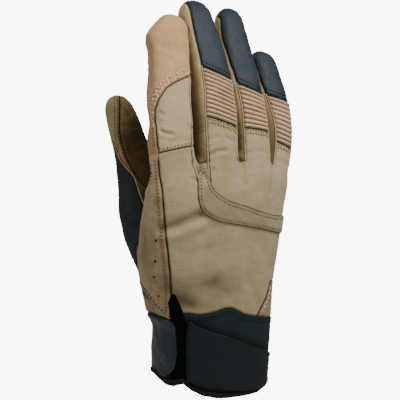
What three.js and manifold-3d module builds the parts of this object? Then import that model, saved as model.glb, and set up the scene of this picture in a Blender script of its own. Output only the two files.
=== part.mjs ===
// Right-hand tactical glove, held up with the fingers pointing along +Z.
// Millimetres. The back of the hand faces -Y, the palm +Y, the thumb is on the -X side.
// The origin is the centre of the wrist opening, on the level of the cuff rim.
import * as THREE from 'three';
import Module from 'manifold-3d';
const wasm = await Module();
wasm.setup();
const { Manifold, Mesh } = wasm;

// ---------- sizes ----------
const WALL = 1.8;          // fabric and suede wall
const GAP = 0.3;           // seam gap between neighbouring panels
const DORSAL = 2;          // seam between back and side walls, from the mid plane
const RIB_PITCH = 2.8, RIB_WIDTH = 1.7, RIB_RISE = 0.9;
const BAND = [0.3, 1.4];   // overlay skins: from and to, above the surface
const STRAP = [0.3, 2.3];
const SIDE = [0.3, 1.3];
const GUSSET = [0.3, 1.0];
const HEM = [0.3, 1.9];

// ---------- limbs: each is a lofted body along a straight axis with drifting centres ----------
// row columns: t along the axis, cu and cv centre, A half width, Bd half depth to the back, Bp half depth to the palm
const LIMBS = {
  hand: { O: [0, 0, 0], d: [0, 0, 1], u: [1, 0, 0], n: 2.4, cap: [128, 22], base: [0, 8], rows: [
    [0, -0.2, 0, 36.4, 24, 23.5], [25, 0.5, 0.3, 37.9, 24.5, 24], [47, 1.3, 1, 38.3, 25, 26], [54, 0.4, 1.5, 39.2, 24.6, 25.8], [60, -0.9, 2, 40.9, 24, 25.5], [72, -2.6, 3.6, 43.2, 22.4, 23.5], [84, -4.4, 5.6, 46.4, 21, 22.5],
    [95, -4.6, 7.6, 47.6, 19.5, 21.5], [107, -4.1, 9.7, 48.2, 18.4, 20.2], [125, -3.2, 12.5, 47.8, 17, 18.5], [150, -2.1, 15.5, 46.7, 14.5, 16]] },
  index: { O: [-33.6, -17.2, 124.2], d: [0.0963, 0.2664, 0.959], u: [0.9954, -0.0258, -0.0928], n: 3, cap: [105.6, 13], base: [-22, 8], rows: [
    [-22, 0, -12, 10, 8, 9], [0, 0, -0.4, 12, 9.3, 10], [15, -1.4, 3, 13.2, 9.5, 10.5],
    [33, -4.2, 6.3, 13.5, 9.5, 10.5], [39, -4.9, 6.9, 13.7, 9.5, 10.5], [49, -4.6, 7.8, 12.5, 9.5, 10.5], [62, -5.4, 8.2, 13, 9.4, 10.3], [78, -4.6, 7.8, 12.6, 9.2, 9.8], [92, -3.6, 6.1, 12.5, 8.8, 9],
    [101.4, -2.9, 4.3, 12.8, 8.6, 8.6], [118.6, 0, 0, 11.8, 7.5, 7.5]] },
  middle: { O: [-5.1, -22.3, 122.6], d: [0.0235, 0.3435, 0.9389], u: [0.9997, -0.0081, -0.0221], n: 3.3, cap: [117.7, 12], base: [-22, 8], rows: [
    [-22, 0, -18, 9.5, 8, 9], [0, 0, -1, 11.2, 9.3, 11], [15.1, -0.8, 3.3, 11.7, 10, 13],
    [33.1, -1.3, 7.5, 12.5, 10.8, 14], [50.2, -0.3, 9.6, 12.1, 11, 14], [67.1, 0.1, 10.3, 12, 11, 13.5], [89.7, 0.4, 8.4, 11.4, 10.4, 12],
    [109.8, 0.1, 4.7, 10.2, 9.2, 9.8], [129.7, 0, 0, 8.8, 7.5, 7.5]] },
  ring: { O: [16, -22.3, 120.9], d: [0.0725, 0.3813, 0.9216], u: [0.9974, -0.0277, -0.067], n: 3, cap: [114.8, 12], base: [-22, 8], rows: [
    [-22, -1, -18.5, 8.5, 7.5, 8.5], [0, 0, -1, 9.8, 8.5, 10.5], [13.4, 1.2, 2.6, 10.3, 9.3, 11.5],
    [30.6, 2.6, 5.1, 10.6, 9.8, 12.3], [46.3, 2.6, 6.5, 10.6, 9.9, 12.3], [62.4, 2.2, 6.6, 10.5, 9.8, 11.8], [78.8, 1.7, 5.7, 10.2, 9.4, 10.8],
    [99.1, 0.8, 3.1, 9.5, 8.6, 9.2], [126.8, 0, 0, 8, 7, 7]] },
  little: { O: [30.5, -15.6, 118.6], d: [0.1619, 0.3485, 0.9232], u: [0.9868, -0.0572, -0.1515], n: 2.8, cap: [89.3, 10], base: [-22, 8], rows: [
    [-22, -1, -13.5, 7.5, 7.5, 8], [0, 0, -0.5, 8.2, 8, 9.3], [12.4, 1.7, 2.8, 9, 8.8, 10.3],
    [28, 3.8, 5.2, 9.8, 9.2, 10.8], [44, 4.7, 6.1, 9.9, 9.2, 10.6], [60.3, 4.6, 5.5, 9.7, 8.8, 10], [77, 2.5, 3.6, 8.6, 8.4, 8.9],
    [99.3, -1, 0, 7.4, 6.8, 6.8]] },
  thumb: { O: [-27.1, 7.8, 59.3], d: [-0.0128, 0.4672, 0.8841], u: [0.8492, -0.4618, 0.2563], n: 2.4, cap: [125.8, 12], base: [0, 8], rows: [
    [0, 0.4, 0, 12, 14, 14], [19.7, 0.4, 0.9, 13, 14, 14], [40.1, -1.1, -1.1, 14.9, 13, 13], [60.6, -1.9, -3.1, 14.6, 12, 12],
    [80.9, -0.4, -4.2, 12.7, 11, 11], [100.8, 0.7, -3.3, 11.4, 10.5, 10.5], [117.6, -0.1, -2.1, 10.3, 9.5, 9.5], [137.8, -1.9, 0, 8, 7.5, 7.5]] },
};
const DIGITS = ['index', 'middle', 'ring', 'little', 'thumb'];

// finger panels: zone = where the finger's own panels begin; side = half width of the back panels;
// ribs and tip = seam heights 12 mm left and right of the finger's middle line
const FINGERS = {
  middle: { zone: 25, side: 9.4, ribs: [52.8, 44], tip: [84.9, 72.4] },
  ring: { zone: 25, side: 8.4, ribs: [47.7, 40.7], tip: [75.5, 65] },
  little: { zone: 23, side: 7, ribs: [40, 33.3], tip: [68.8, 63.2] },
};
const INDEX_ZONE = 29, THUMB_ZONE = 30;

// outlines on the body, columns x, z
const CUFF_TOP = [[-90, 55.5], [-43, 55.2], [-36, 52.2], [-30, 56], [-20, 55.4], [-10, 56.5], [0.7, 57.9], [6, 55.6], [10, 53.2], [20, 50.4], [33, 47.2], [90, 47]];
const DORSAL_SEAM = [[-35.5, 40], [-36.2, 56], [-37.6, 71], [-40, 90], [-43.5, 110], [-45.3, 128], [-45.8, 141], [-46.8, 157], [-47, 175]];
const BAND_SHAPE = [[-22.3, 143.5], [-23.8, 135], [-23.4, 128], [-20.5, 121], [-15.8, 117.3], [-7.6, 113.6], [8, 109.8], [22, 106.2], [33, 102.6],
  [33.4, 107], [33.6, 112.8], [20, 117.2], [8.9, 121.6], [-2.8, 125.9], [-9.6, 130], [-14.2, 134.3], [-15.9, 140.7], [-16.4, 147]];
const STRAP_SHAPE = [[-26.6, 49.5], [-21.9, 48.5], [-13.5, 44.7], [0.3, 39.5], [15.5, 32.4], [26.2, 27.8], [34.5, 23.5],
  [37.5, 19], [38, 14], [36, 7.5], [30, 3.6], [22.4, 2.6], [12.3, 3.1], [4.1, 4.2], [-7.3, 6.8], [-16, 8.2], [-20.5, 10.2], [-24.6, 12.9], [-26.6, 14.6]];
const GREY_SHAPE = [[-60, 51.3], [-35.1, 51.1], [-33.2, 49.5], [-32.2, 46.5], [-31.6, 39], [-31.6, 29.5], [-32.2, 23.7], [-33.3, 19.8], [-35, 17.4], [-37, 18.4], [-38.5, 20.6], [-60, 20.6]];
const GUSSET_SHAPE = [[-36, 69.4], [-37.6, 65.5], [-37.5, 62], [-36.4, 58.5], [-35, 53.2], [-33.9, 51.6], [-31.9, 48], [-31.1, 39], [-31.1, 29.5], [-31.5, 23.7], [-31.8, 19.5], [-31.6, 16], [-28.6, 16.2],
  [-27, 15.2], [-27, 47], [-28.6, 53.2], [-30.9, 58.8], [-33.6, 64]];
const RIM_CUT = [[-60, -20], [-60, 15.4], [-38.5, 15.4], [-37, 12.2], [-35.3, 9.8], [-32.8, 9.4], [-28.3, 10.4], [-23.9, 7.1], [-17, 3.3], [-8, 1], [0, 0.2], [10, 0], [60, 0], [60, -20]];
const HEM_SHAPE = [[-60, 15.4], [-38.5, 15.4], [-37, 12.2], [-35.3, 9.8], [-32.8, 9.4], [-28.3, 10.4], [-23.9, 7.1], [-20, 4.9], [-20, 8.6], [-24.8, 12], [-28.6, 14.8], [-31.9, 14.6], [-35.2, 14.4], [-37, 16.6], [-38.5, 19.4], [-60, 19.4]];
const ULNAR_CORNER = [[32.5, 70], [30.1, 63.5], [27.7, 59.3], [21, 51], [17, 44], [60, 44], [60, 70]];
// outlines seen from the side, columns y, z
const STRIP_EDGE = [[-70, 45], [-20, 45], [-16.4, 52.4], [-10.5, 59.4], [-0.2, 70.8], [2, 72.3], [15.8, 84.3], [20.1, 92.9], [24.2, 104.6], [15, 112], [1, 120], [-5, 130], [-9, 165], [-9, 172], [-70, 172]];
const THUMB_BASE = [[60, 78.5], [10, 66], [0, 70.4], [2, 72.3], [15.8, 84.3], [20.1, 92.9], [24.2, 104.6], [60, 110]];
// outlines on a limb, columns u from its middle line, t
const INDEX_BACK = [[-11.8, 26], [-12.2, 36], [-12.3, 50], [-12.2, 57], [-10.8, 62.1], [-6.1, 69.3], [-0.1, 73.2], [6.3, 76], [30, 79], [30, 26]];
const THUMB_NAVY = [[-10, 106], [-9.3, 102.4], [-7.5, 93.4], [-4.2, 87], [-0.6, 80.6], [0.5, 74.6], [2, 66.4], [3.6, 58], [6, 45], [7, 24], [-40, 24], [-40, 106]];

// ---------- colours: sRGB, roughness, metalness ----------
const LOOK = {
  fabric: ['#a2947a', 0.85, 0], suede: ['#9d8264', 0.9, 0], strip: ['#8a7150', 0.9, 0], cap: ['#b59a7f', 0.9, 0],
  rib: ['#a2896f', 0.8, 0], navy: ['#425660', 0.6, 0], dark: ['#2b3a40', 0.65, 0], black: ['#151f24', 0.7, 0],
  grey: ['#2c383c', 0.35, 0], hem: ['#0e1415', 0.85, 0], wall: ['#8c7a5a', 0.85, 0], heel: ['#61513a', 0.9, 0],
};

// ---------- small vector and table helpers ----------
const dot = (a, b) => a[0] * b[0] + a[1] * b[1] + a[2] * b[2];
const cross = (a, b) => [a[1] * b[2] - a[2] * b[1], a[2] * b[0] - a[0] * b[2], a[0] * b[1] - a[1] * b[0]];
const unit = a => { const l = Math.hypot(...a); return a.map(x => x / l); };
for (const L of Object.values(LIMBS)) {
  L.d = unit(L.d);
  const k = dot(L.u, L.d);
  L.u = unit(L.u.map((x, i) => x - k * L.d[i]));
  L.v = cross(L.u, L.d);
}
const place = (L, u, v, t) => [0, 1, 2].map(i => L.O[i] + u * L.u[i] + v * L.v[i] + t * L.d[i]);

// smooth interpolation of one table row at t
function section(L, t) {
  const R = L.rows, last = R.length - 1;
  const x = Math.min(Math.max(t, R[0][0]), R[last][0]);
  let i = 0;
  while (i < last - 1 && x > R[i + 1][0]) i++;
  const slope = (j, c) => {
    const s = (a, b) => (R[b][c] - R[a][c]) / (R[b][0] - R[a][0]);
    if (j === 0) return s(0, 1);
    if (j === last) return s(last - 1, last);
    const h0 = R[j][0] - R[j - 1][0], h1 = R[j + 1][0] - R[j][0];
    return (s(j - 1, j) * h1 + s(j, j + 1) * h0) / (h0 + h1);
  };
  const h = R[i + 1][0] - R[i][0], s = (x - R[i][0]) / h, s2 = s * s, s3 = s2 * s;
  return [1, 2, 3, 4, 5].map(c => (2 * s3 - 3 * s2 + 1) * R[i][c] + (s3 - 2 * s2 + s) * h * slope(i, c)
    + (3 * s2 - 2 * s3) * R[i + 1][c] + (s3 - s2) * h * slope(i + 1, c));
}

// ---------- bodies ----------
const toSolid = (pos, tri) => new Manifold(new Mesh({ numProp: 3, vertProperties: new Float32Array(pos.flat()), triVerts: new Uint32Array(tri.flat()) }));

// rings of equal count joined into a closed body
function skinRings(rings) {
  const n = rings[0].length, pos = rings.flat(), tri = [];
  for (let k = 0; k + 1 < rings.length; k++) for (let i = 0; i < n; i++) {
    const a = k * n + i, b = k * n + (i + 1) % n, c = a + n, e = b + n;
    tri.push([a, b, e], [a, e, c]);
  }
  const end = (k, flip) => {
    const m = pos.length;
    pos.push([0, 1, 2].map(j => rings[k].reduce((s, p) => s + p[j], 0) / n));
    for (let i = 0; i < n; i++) { const a = k * n + i, b = k * n + (i + 1) % n; tri.push(flip ? [b, a, m] : [a, b, m]); }
  };
  end(0, true); end(rings.length - 1, false);
  return toSolid(pos, tri);
}

// one limb, grown by off; from = level where it starts flat, otherwise rounded base
function loft(L, off, around, along, from = null) {
  const [tc, hc] = L.cap, [tb, hb] = L.base, m = 2.3, levels = [];
  if (from === null) for (const c of [0.985, 0.85, 0.55]) levels.push([tb - (hb + off) * c, Math.pow(1 - Math.pow(c, m), 1 / m)]);
  const t0 = from === null ? tb : from;
  for (let i = 0; i <= along; i++) levels.push([t0 + (tc - t0) * i / along, 1]);
  for (const c of [0.45, 0.75, 0.93, 0.995]) levels.push([tc + (hc + off) * c, Math.pow(1 - Math.pow(c, m), 1 / m)]);
  return skinRings(levels.map(([t, k]) => {
    const [cu, cv, A, Bd, Bp] = section(L, t), ring = [];
    for (let i = 0; i < around; i++) {
      const a = 2 * Math.PI * (i + 0.5) / around, c = Math.cos(a), s = Math.sin(a);
      const r = Math.pow(Math.pow(Math.abs(c), L.n) + Math.pow(Math.abs(s), L.n), -1 / L.n);
      const B = s > 0 ? Bd : Bp;
      // u x v points along -d, so the ring is walked from +u towards the palm side to keep outward faces
      ring.push(place(L, cu + k * (A + off) * r * c, cv - k * ((s > 0 ? Bp : Bd) + off) * r * s, t));
    }
    return ring;
  }));
}

// wedge along a limb holding everything on the back side of its mid plane + lift
function backWedge(L, lift, t0, t1, uMin = -80, uMax = 80, vTop = 45) {
  const rings = [];
  for (let i = 0; i <= 8; i++) {
    const t = t0 + (t1 - t0) * i / 8, [, cv] = section(L, t);
    rings.push([[uMin, cv + lift], [uMax, cv + lift], [uMax, vTop], [uMin, vTop]].map(([u, v]) => place(L, u, v, t)).reverse());
  }
  return skinRings(rings);
}

// closed outline grown by g (positive = outwards); outlines run in either sense
const area = poly => poly.reduce((s, p, i) => { const q = poly[(i + 1) % poly.length]; return s + p[0] * q[1] - p[1] * q[0]; }, 0);
const leftTurning = poly => area(poly) < 0 ? [...poly].reverse() : poly;
function grow(poly, g) {
  const n = poly.length, pts = leftTurning(poly);
  return pts.map((p, i) => {
    const a = pts[(i + n - 1) % n], b = pts[(i + 1) % n];
    const e = unit([p[0] - a[0], p[1] - a[1]]), f = unit([b[0] - p[0], b[1] - p[1]]);
    const m = [e[1] + f[1], -e[0] - f[0]], l = Math.max(0.35, (m[0] * m[0] + m[1] * m[1]) / 2);
    return [p[0] + g * m[0] / l, p[1] + g * m[1] / l];
  });
}

// outline pushed along a direction: at(p, w) gives the point of outline point p at depth w
function prism(outline, at, w0, w1) {
  const poly = leftTurning(outline), n = poly.length;
  const faces = THREE.ShapeUtils.triangulateShape(poly.map(p => new THREE.Vector2(...p)), []).map(f => area(f.map(i => poly[i])) < 0 ? [f[0], f[2], f[1]] : f);
  const pos = [...poly.map(p => at(p, w0)), ...poly.map(p => at(p, w1))], tri = [];
  for (const [a, b, c] of faces) tri.push([a, c, b], [a + n, b + n, c + n]);
  for (let i = 0; i < n; i++) { const j = (i + 1) % n; tri.push([i, j, j + n], [i, j + n, i + n]); }
  const out = toSolid(pos, tri);
  return out.volume() < 0 ? toSolid(pos, tri.map(t => [t[0], t[2], t[1]])) : out;
}
const frontPrism = (poly, g, y0 = -70, y1 = 0) => prism(grow(poly, g), ([x, z], w) => [x, w, z], y0, y1);
const sidePrism = (poly, g, x0, x1) => prism(grow(poly, g), ([y, z], w) => [w, y, z], x0, x1);
// an outline with its edges cut into short steps, following the limb's drifting middle line
const follow = (L, poly, steps = 6) => poly.flatMap((a, i) => {
  const b = poly[(i + 1) % poly.length];
  return [...Array(steps).keys()].map(k => {
    const [u, t] = [0, 1].map(j => a[j] + (b[j] - a[j]) * k / steps);
    return [u + section(L, t)[0], t];
  });
});
const limbPrism = (L, poly, g, v0 = -45, v1 = 45) => prism(follow(L, grow(poly, g)), ([u, t], w) => place(L, u, w, t), v0, v1);

const join = list => list.reduce((a, b) => Manifold.union(a, b));
const AROUND = { hand: 28, index: 16, middle: 16, ring: 16, little: 14, thumb: 18 };
const ALONG = { hand: 9, index: 8, middle: 8, ring: 8, little: 7, thumb: 8 };
const limb = (name, off, from = null) => loft(LIMBS[name], off, AROUND[name], ALONG[name], name === 'hand' && from === null ? -6 : from);
const body = off => join(['hand', ...DIGITS].map(name => limb(name, off)));

const rim = prism(RIM_CUT, ([x, z], w) => [x, w, z], -70, 70);
const outer = body(0), inner = body(-WALL);
const shell = outer.subtract(inner).subtract(rim);

// ---------- cutters, each grown by g ----------
const h = GAP / 2;
const ownZone = (name, g) => {
  const from = name === 'index' ? INDEX_ZONE : name === 'thumb' ? THUMB_ZONE : FINGERS[name].zone;
  const z = limb(name, 0.9 + g, from - g);
  return name === 'thumb' ? z.subtract(limb('hand', 0.4 - g)) : z;
};
// where two digits meet at a crotch, the one nearer the index keeps the wall
const ORDER = ['index', 'middle', 'ring', 'little'];
const clear = (solid, name, g) => ORDER.slice(0, Math.max(0, ORDER.indexOf(name))).reduce((z, other) => z.subtract(ownZone(other, -g)), solid);
const zone = (name, g) => clear(ownZone(name, g), name, g);
const seamLine = (line, w, g) => [-1, 1].map(k => [k * w, (line[0] + line[1]) / 2 + k * w / 24 * (line[1] - line[0]) + g]);
const between = (lo, hi, w, g) => [...seamLine(lo, w + g, -g), ...seamLine(hi, w + g, g).reverse()];
// stretch of a finger's back between two seams; the outline follows the finger's drifting middle line
const stretch = (name, lo, hi, g) => {
  const L = LIMBS[name], shape = between(lo, hi, FINGERS[name].side, g), steps = 6, pts = [];
  const along = (a, b) => { for (let i = 0; i < steps; i++) pts.push([0, 1].map(j => a[j] + (b[j] - a[j]) * i / steps)); };
  shape.forEach((p, i) => along(p, shape[(i + 1) % 4]));
  return prism(pts.map(([u, t]) => [u + section(L, t)[0], t]), ([u, t], w) => place(L, u, w, t), -6, 40);
};
const fingerBack = (name, g) => backWedge(LIMBS[name], -g, FINGERS[name].zone - 14, 140, -40, 40, 30);
const TOP = [150, 150], LOW = name => [FINGERS[name].zone - 8, FINGERS[name].zone - 8];
const tipCut = (name, g) => zone(name, g).intersect(fingerBack(name, g)).intersect(stretch(name, FINGERS[name].tip, TOP, g));
const ribCut = (name, g) => fingerBack(name, g).intersect(stretch(name, FINGERS[name].ribs, FINGERS[name].tip, g));
const lowCut = (name, g) => limb(name, 0.9 + g, FINGERS[name].zone - 8).intersect(fingerBack(name, g)).intersect(stretch(name, LOW(name), FINGERS[name].ribs, g));

const SEAM_TO_RIGHT = [...DORSAL_SEAM, [70, 175], [70, 40]];
const SEAM_TO_LEFT = [...DORSAL_SEAM, [-70, 175], [-70, 40]];
const aboveCuff = g => frontPrism([...CUFF_TOP, [90, 260], [-90, 260]], g, -90, 120);
const backCut = g => {
  const hand = backWedge(LIMBS.hand, DORSAL - g, 40, 172).intersect(frontPrism(SEAM_TO_RIGHT, g, -70, 40)).intersect(aboveCuff(g))
    .subtract(frontPrism(ULNAR_CORNER, -g, -70, 40)).subtract(zone('index', -g));
  const own = join(Object.keys(FINGERS).map(f => zone(f, 0.6)));
  return join([hand.subtract(own), ...Object.keys(FINGERS).map(f => lowCut(f, g))]).subtract(zone('index', -g));
};
const stripCut = g => sidePrism(STRIP_EDGE, g, -70, -30).intersect(frontPrism(SEAM_TO_LEFT, g, -70, 60)).intersect(aboveCuff(g))
  .subtract(zone('index', -g)).subtract(zone('thumb', -g));
const thumbBaseCut = g => sidePrism(THUMB_BASE, g, -70, -22 + g).intersect(backWedge(LIMBS.thumb, -4 - g, -20, 60, -40, 40, 40)).subtract(zone('thumb', -g));
const ulnarCut = g => backWedge(LIMBS.hand, DORSAL - g, 40, 90).intersect(frontPrism(ULNAR_CORNER, g, -70, 40)).intersect(aboveCuff(g));
const indexBackCut = g => backWedge(LIMBS.index, DORSAL - g, 20, 90, -40, 40, 30).intersect(limbPrism(LIMBS.index, INDEX_BACK, g)).intersect(zone('index', g));
const thumbNavyCut = g => limbPrism(LIMBS.thumb, THUMB_NAVY, g).intersect(backWedge(LIMBS.thumb, -3 - g, 10, 130, -40, 40, 40));

// ---------- panels of the shell ----------
const parts = [];
const add = (name, solid, look) => parts.push([name, solid, look]);
const back = backCut(-h), backHole = backCut(h);
add('back_panel', shell.intersect(back), 'fabric');
add('side_strip', shell.intersect(stripCut(-h)), 'strip');
add('ulnar_corner', shell.intersect(ulnarCut(-h)), 'suede');
const thumbZone = zone('thumb', -h);
add('thumb_side', shell.intersect(thumbZone).intersect(thumbNavyCut(-h)), 'dark');
add('thumb_front', shell.intersect(thumbZone).subtract(thumbNavyCut(h)), 'wall');
const indexShell = shell.intersect(zone('index', -h));
add('index_back', indexShell.intersect(indexBackCut(-h)), 'fabric');
const indexFront = g => backWedge(LIMBS.index, -4 - g, 10, 140, -40, 40, 40);
add('index_cap', indexShell.subtract(indexBackCut(h)).intersect(indexFront(-h)), 'cap');
add('index_palm', indexShell.subtract(indexFront(h)), 'cap');
for (const f of Object.keys(FINGERS)) {
  const own = shell.intersect(zone(f, -h));
  const cuts = join([tipCut(f, h), ribCut(f, h), backHole]);
  add(f + '_tip', own.intersect(tipCut(f, -h)), 'navy');
  // ribs: a ridge every pitch on top of the panel
  const [lo, hi] = [FINGERS[f].ribs, FINGERS[f].tip];
  const raised = limb(f, RIB_RISE, FINGERS[f].zone).subtract(limb(f, -WALL / 2, FINGERS[f].zone));
  const mean = ((hi[0] - lo[0]) + (hi[1] - lo[1])) / 2, count = Math.round(mean / RIB_PITCH), bars = [];
  for (let i = 0; i < count; i++) {
    const at = s => [lo[0] + (hi[0] - lo[0]) * s, lo[1] + (hi[1] - lo[1]) * s];
    const c = at((i + 0.5) / count), w = RIB_WIDTH / 2;
    bars.push(stretch(f, [c[0] - w, c[1] - w], [c[0] + w, c[1] + w], 0));
  }
  add(f + '_ribs', join([own.intersect(ribCut(f, -h)), clear(raised, f, -h).intersect(join(bars)).intersect(ribCut(f, -h))]), 'rib');
  add(f + '_body', own.subtract(cuts), 'wall');
}
const digitHoles = join(DIGITS.map(n => zone(n, h)));
add('thumb_base', shell.intersect(thumbBaseCut(-h)).subtract(stripCut(h)).subtract(backHole), 'dark');
add('palm', shell.intersect(aboveCuff(-h)).subtract(backHole).subtract(digitHoles).subtract(stripCut(h)).subtract(ulnarCut(h)).subtract(thumbBaseCut(h)), 'suede');
add('cuff_wall', shell.subtract(aboveCuff(h)), 'black');

// ---------- overlays on the surface ----------
const skin = ([a, b]) => body(b).subtract(body(a));
const cuffSkin = ([a, b]) => limb('hand', b).subtract(limb('hand', a)).subtract(rim);
add('knuckle_band', skin(BAND).intersect(frontPrism(BAND_SHAPE, 0, -60, -8)), 'rib');
add('closure_strap', cuffSkin(STRAP).intersect(frontPrism(STRAP_SHAPE, 0, -60, -1.5)), 'black');
add('cuff_side_panel', cuffSkin(SIDE).intersect(frontPrism(GREY_SHAPE, 0, -60, 12)), 'grey');
add('cuff_gusset', cuffSkin(GUSSET).intersect(frontPrism(GUSSET_SHAPE, 0, -60, 0)), 'hem');
add('hem_binding', cuffSkin(HEM).intersect(frontPrism(HEM_SHAPE, 0, -60, 60)), 'hem');

// ---------- scene graph ----------
const group = new THREE.Group();
group.name = 'tactical_glove';
for (const [name, solid, look] of parts) {
  // loose slivers left by the cuts are dropped, the panel itself is kept
  const bits = solid.decompose().sort((a, b) => b.volume() - a.volume());
  const m = bits[0].getMesh();
  const geo = new THREE.BufferGeometry();
  const flat = new Float32Array(m.triVerts.length * 3);
  for (let i = 0; i < m.triVerts.length; i++) for (let j = 0; j < 3; j++) flat[i * 3 + j] = m.vertProperties[m.triVerts[i] * m.numProp + j];
  geo.setAttribute('position', new THREE.BufferAttribute(flat, 3));
  geo.computeVertexNormals();
  const [color, roughness, metalness] = LOOK[look];
  const mesh = new THREE.Mesh(geo, new THREE.MeshStandardMaterial({ color, roughness, metalness }));
  mesh.name = name;
  group.add(mesh);
}
export default group;
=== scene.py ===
import math

import bpy
import numpy as np
from mathutils import Matrix, kdtree


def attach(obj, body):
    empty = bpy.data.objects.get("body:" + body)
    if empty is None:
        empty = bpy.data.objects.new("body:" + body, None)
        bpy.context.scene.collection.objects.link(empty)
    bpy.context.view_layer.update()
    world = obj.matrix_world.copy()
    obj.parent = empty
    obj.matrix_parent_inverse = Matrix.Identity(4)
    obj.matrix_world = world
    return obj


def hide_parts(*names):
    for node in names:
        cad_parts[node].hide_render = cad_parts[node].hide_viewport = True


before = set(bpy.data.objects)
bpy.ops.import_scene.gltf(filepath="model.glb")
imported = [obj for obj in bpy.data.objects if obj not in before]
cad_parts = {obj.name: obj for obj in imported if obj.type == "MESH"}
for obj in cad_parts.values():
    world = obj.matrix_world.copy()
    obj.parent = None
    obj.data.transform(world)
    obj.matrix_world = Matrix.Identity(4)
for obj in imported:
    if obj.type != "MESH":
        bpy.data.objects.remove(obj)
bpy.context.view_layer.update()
MM = 0.001
rng = np.random.default_rng(7)

# ------------------------------------------------------------------ the glove's body as a smooth field
# limb rows: t along the axis, cu and cv centre, A half width, Bd half depth to the back, Bp half depth to the palm
LIMBS = {
    "hand": dict(O=(0, 0, 0), d=(0, 0, 1), u=(1, 0, 0), n=2.4, cap=(128, 22), base=(0, 8), rows=[
        (0, -0.2, 0, 36.4, 24, 23.5), (25, 0.5, 0.3, 37.9, 24.5, 24), (47, 1.3, 1, 38.3, 25, 26), (54, 0.4, 1.5, 39.2, 24.6, 25.8), (60, -0.9, 2, 40.9, 24, 25.5), (72, -2.6, 3.6, 43.2, 22.4, 23.5), (84, -4.4, 5.6, 46.4, 21, 22.5),
        (95, -4.6, 7.6, 47.6, 19.5, 21.5), (107, -4.1, 9.7, 48.2, 18.4, 20.2), (125, -3.2, 12.5, 47.8, 17, 18.5), (150, -2.1, 15.5, 46.7, 14.5, 16)]),
    "index": dict(O=(-33.6, -17.2, 124.2), d=(0.0963, 0.2664, 0.959), u=(0.9954, -0.0258, -0.0928), n=3, cap=(105.6, 13), base=(-22, 8), rows=[
        (-22, 0, -12, 10, 8, 9), (0, 0, -0.4, 12, 9.3, 10), (15, -1.4, 3, 13.2, 9.5, 10.5), (33, -4.2, 6.3, 13.5, 9.5, 10.5), (39, -4.9, 6.9, 13.7, 9.5, 10.5), (49, -4.6, 7.8, 12.5, 9.5, 10.5),
        (62, -5.4, 8.2, 13, 9.4, 10.3), (78, -4.6, 7.8, 12.6, 9.2, 9.8), (92, -3.6, 6.1, 12.5, 8.8, 9), (101.4, -2.9, 4.3, 12.8, 8.6, 8.6), (118.6, 0, 0, 11.8, 7.5, 7.5)]),
    "middle": dict(O=(-5.1, -22.3, 122.6), d=(0.0235, 0.3435, 0.9389), u=(0.9997, -0.0081, -0.0221), n=3.3, cap=(117.7, 12), base=(-22, 8), rows=[
        (-22, 0, -18, 9.5, 8, 9), (0, 0, -1, 11.2, 9.3, 11), (15.1, -0.8, 3.3, 11.7, 10, 13), (33.1, -1.3, 7.5, 12.5, 10.8, 14),
        (50.2, -0.3, 9.6, 12.1, 11, 14), (67.1, 0.1, 10.3, 12, 11, 13.5), (89.7, 0.4, 8.4, 11.4, 10.4, 12), (109.8, 0.1, 4.7, 10.2, 9.2, 9.8), (129.7, 0, 0, 8.8, 7.5, 7.5)]),
    "ring": dict(O=(16, -22.3, 120.9), d=(0.0725, 0.3813, 0.9216), u=(0.9974, -0.0277, -0.067), n=3, cap=(114.8, 12), base=(-22, 8), rows=[
        (-22, -1, -18.5, 8.5, 7.5, 8.5), (0, 0, -1, 9.8, 8.5, 10.5), (13.4, 1.2, 2.6, 10.3, 9.3, 11.5), (30.6, 2.6, 5.1, 10.6, 9.8, 12.3),
        (46.3, 2.6, 6.5, 10.6, 9.9, 12.3), (62.4, 2.2, 6.6, 10.5, 9.8, 11.8), (78.8, 1.7, 5.7, 10.2, 9.4, 10.8), (99.1, 0.8, 3.1, 9.5, 8.6, 9.2), (126.8, 0, 0, 8, 7, 7)]),
    "little": dict(O=(30.5, -15.6, 118.6), d=(0.1619, 0.3485, 0.9232), u=(0.9868, -0.0572, -0.1515), n=2.8, cap=(89.3, 10), base=(-22, 8), rows=[
        (-22, -1, -13.5, 7.5, 7.5, 8), (0, 0, -0.5, 8.2, 8, 9.3), (12.4, 1.7, 2.8, 9, 8.8, 10.3), (28, 3.8, 5.2, 9.8, 9.2, 10.8),
        (44, 4.7, 6.1, 9.9, 9.2, 10.6), (60.3, 4.6, 5.5, 9.7, 8.8, 10), (77, 2.5, 3.6, 8.6, 8.4, 8.9), (99.3, -1, 0, 7.4, 6.8, 6.8)]),
    "thumb": dict(O=(-27.1, 7.8, 59.3), d=(-0.0128, 0.4672, 0.8841), u=(0.8492, -0.4618, 0.2563), n=2.4, cap=(125.8, 12), base=(0, 8), rows=[
        (0, 0.4, 0, 12, 14, 14), (19.7, 0.4, 0.9, 13, 14, 14), (40.1, -1.1, -1.1, 14.9, 13, 13), (60.6, -1.9, -3.1, 14.6, 12, 12),
        (80.9, -0.4, -4.2, 12.7, 11, 11), (100.8, 0.7, -3.3, 11.4, 10.5, 10.5), (117.6, -0.1, -2.1, 10.3, 9.5, 9.5), (137.8, -1.9, 0, 8, 7.5, 7.5)]),
}
BLEND = {"index": 7, "middle": 7, "ring": 7, "little": 7, "thumb": 9}
DIGITS = ("index", "middle", "ring", "little", "thumb")


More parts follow.
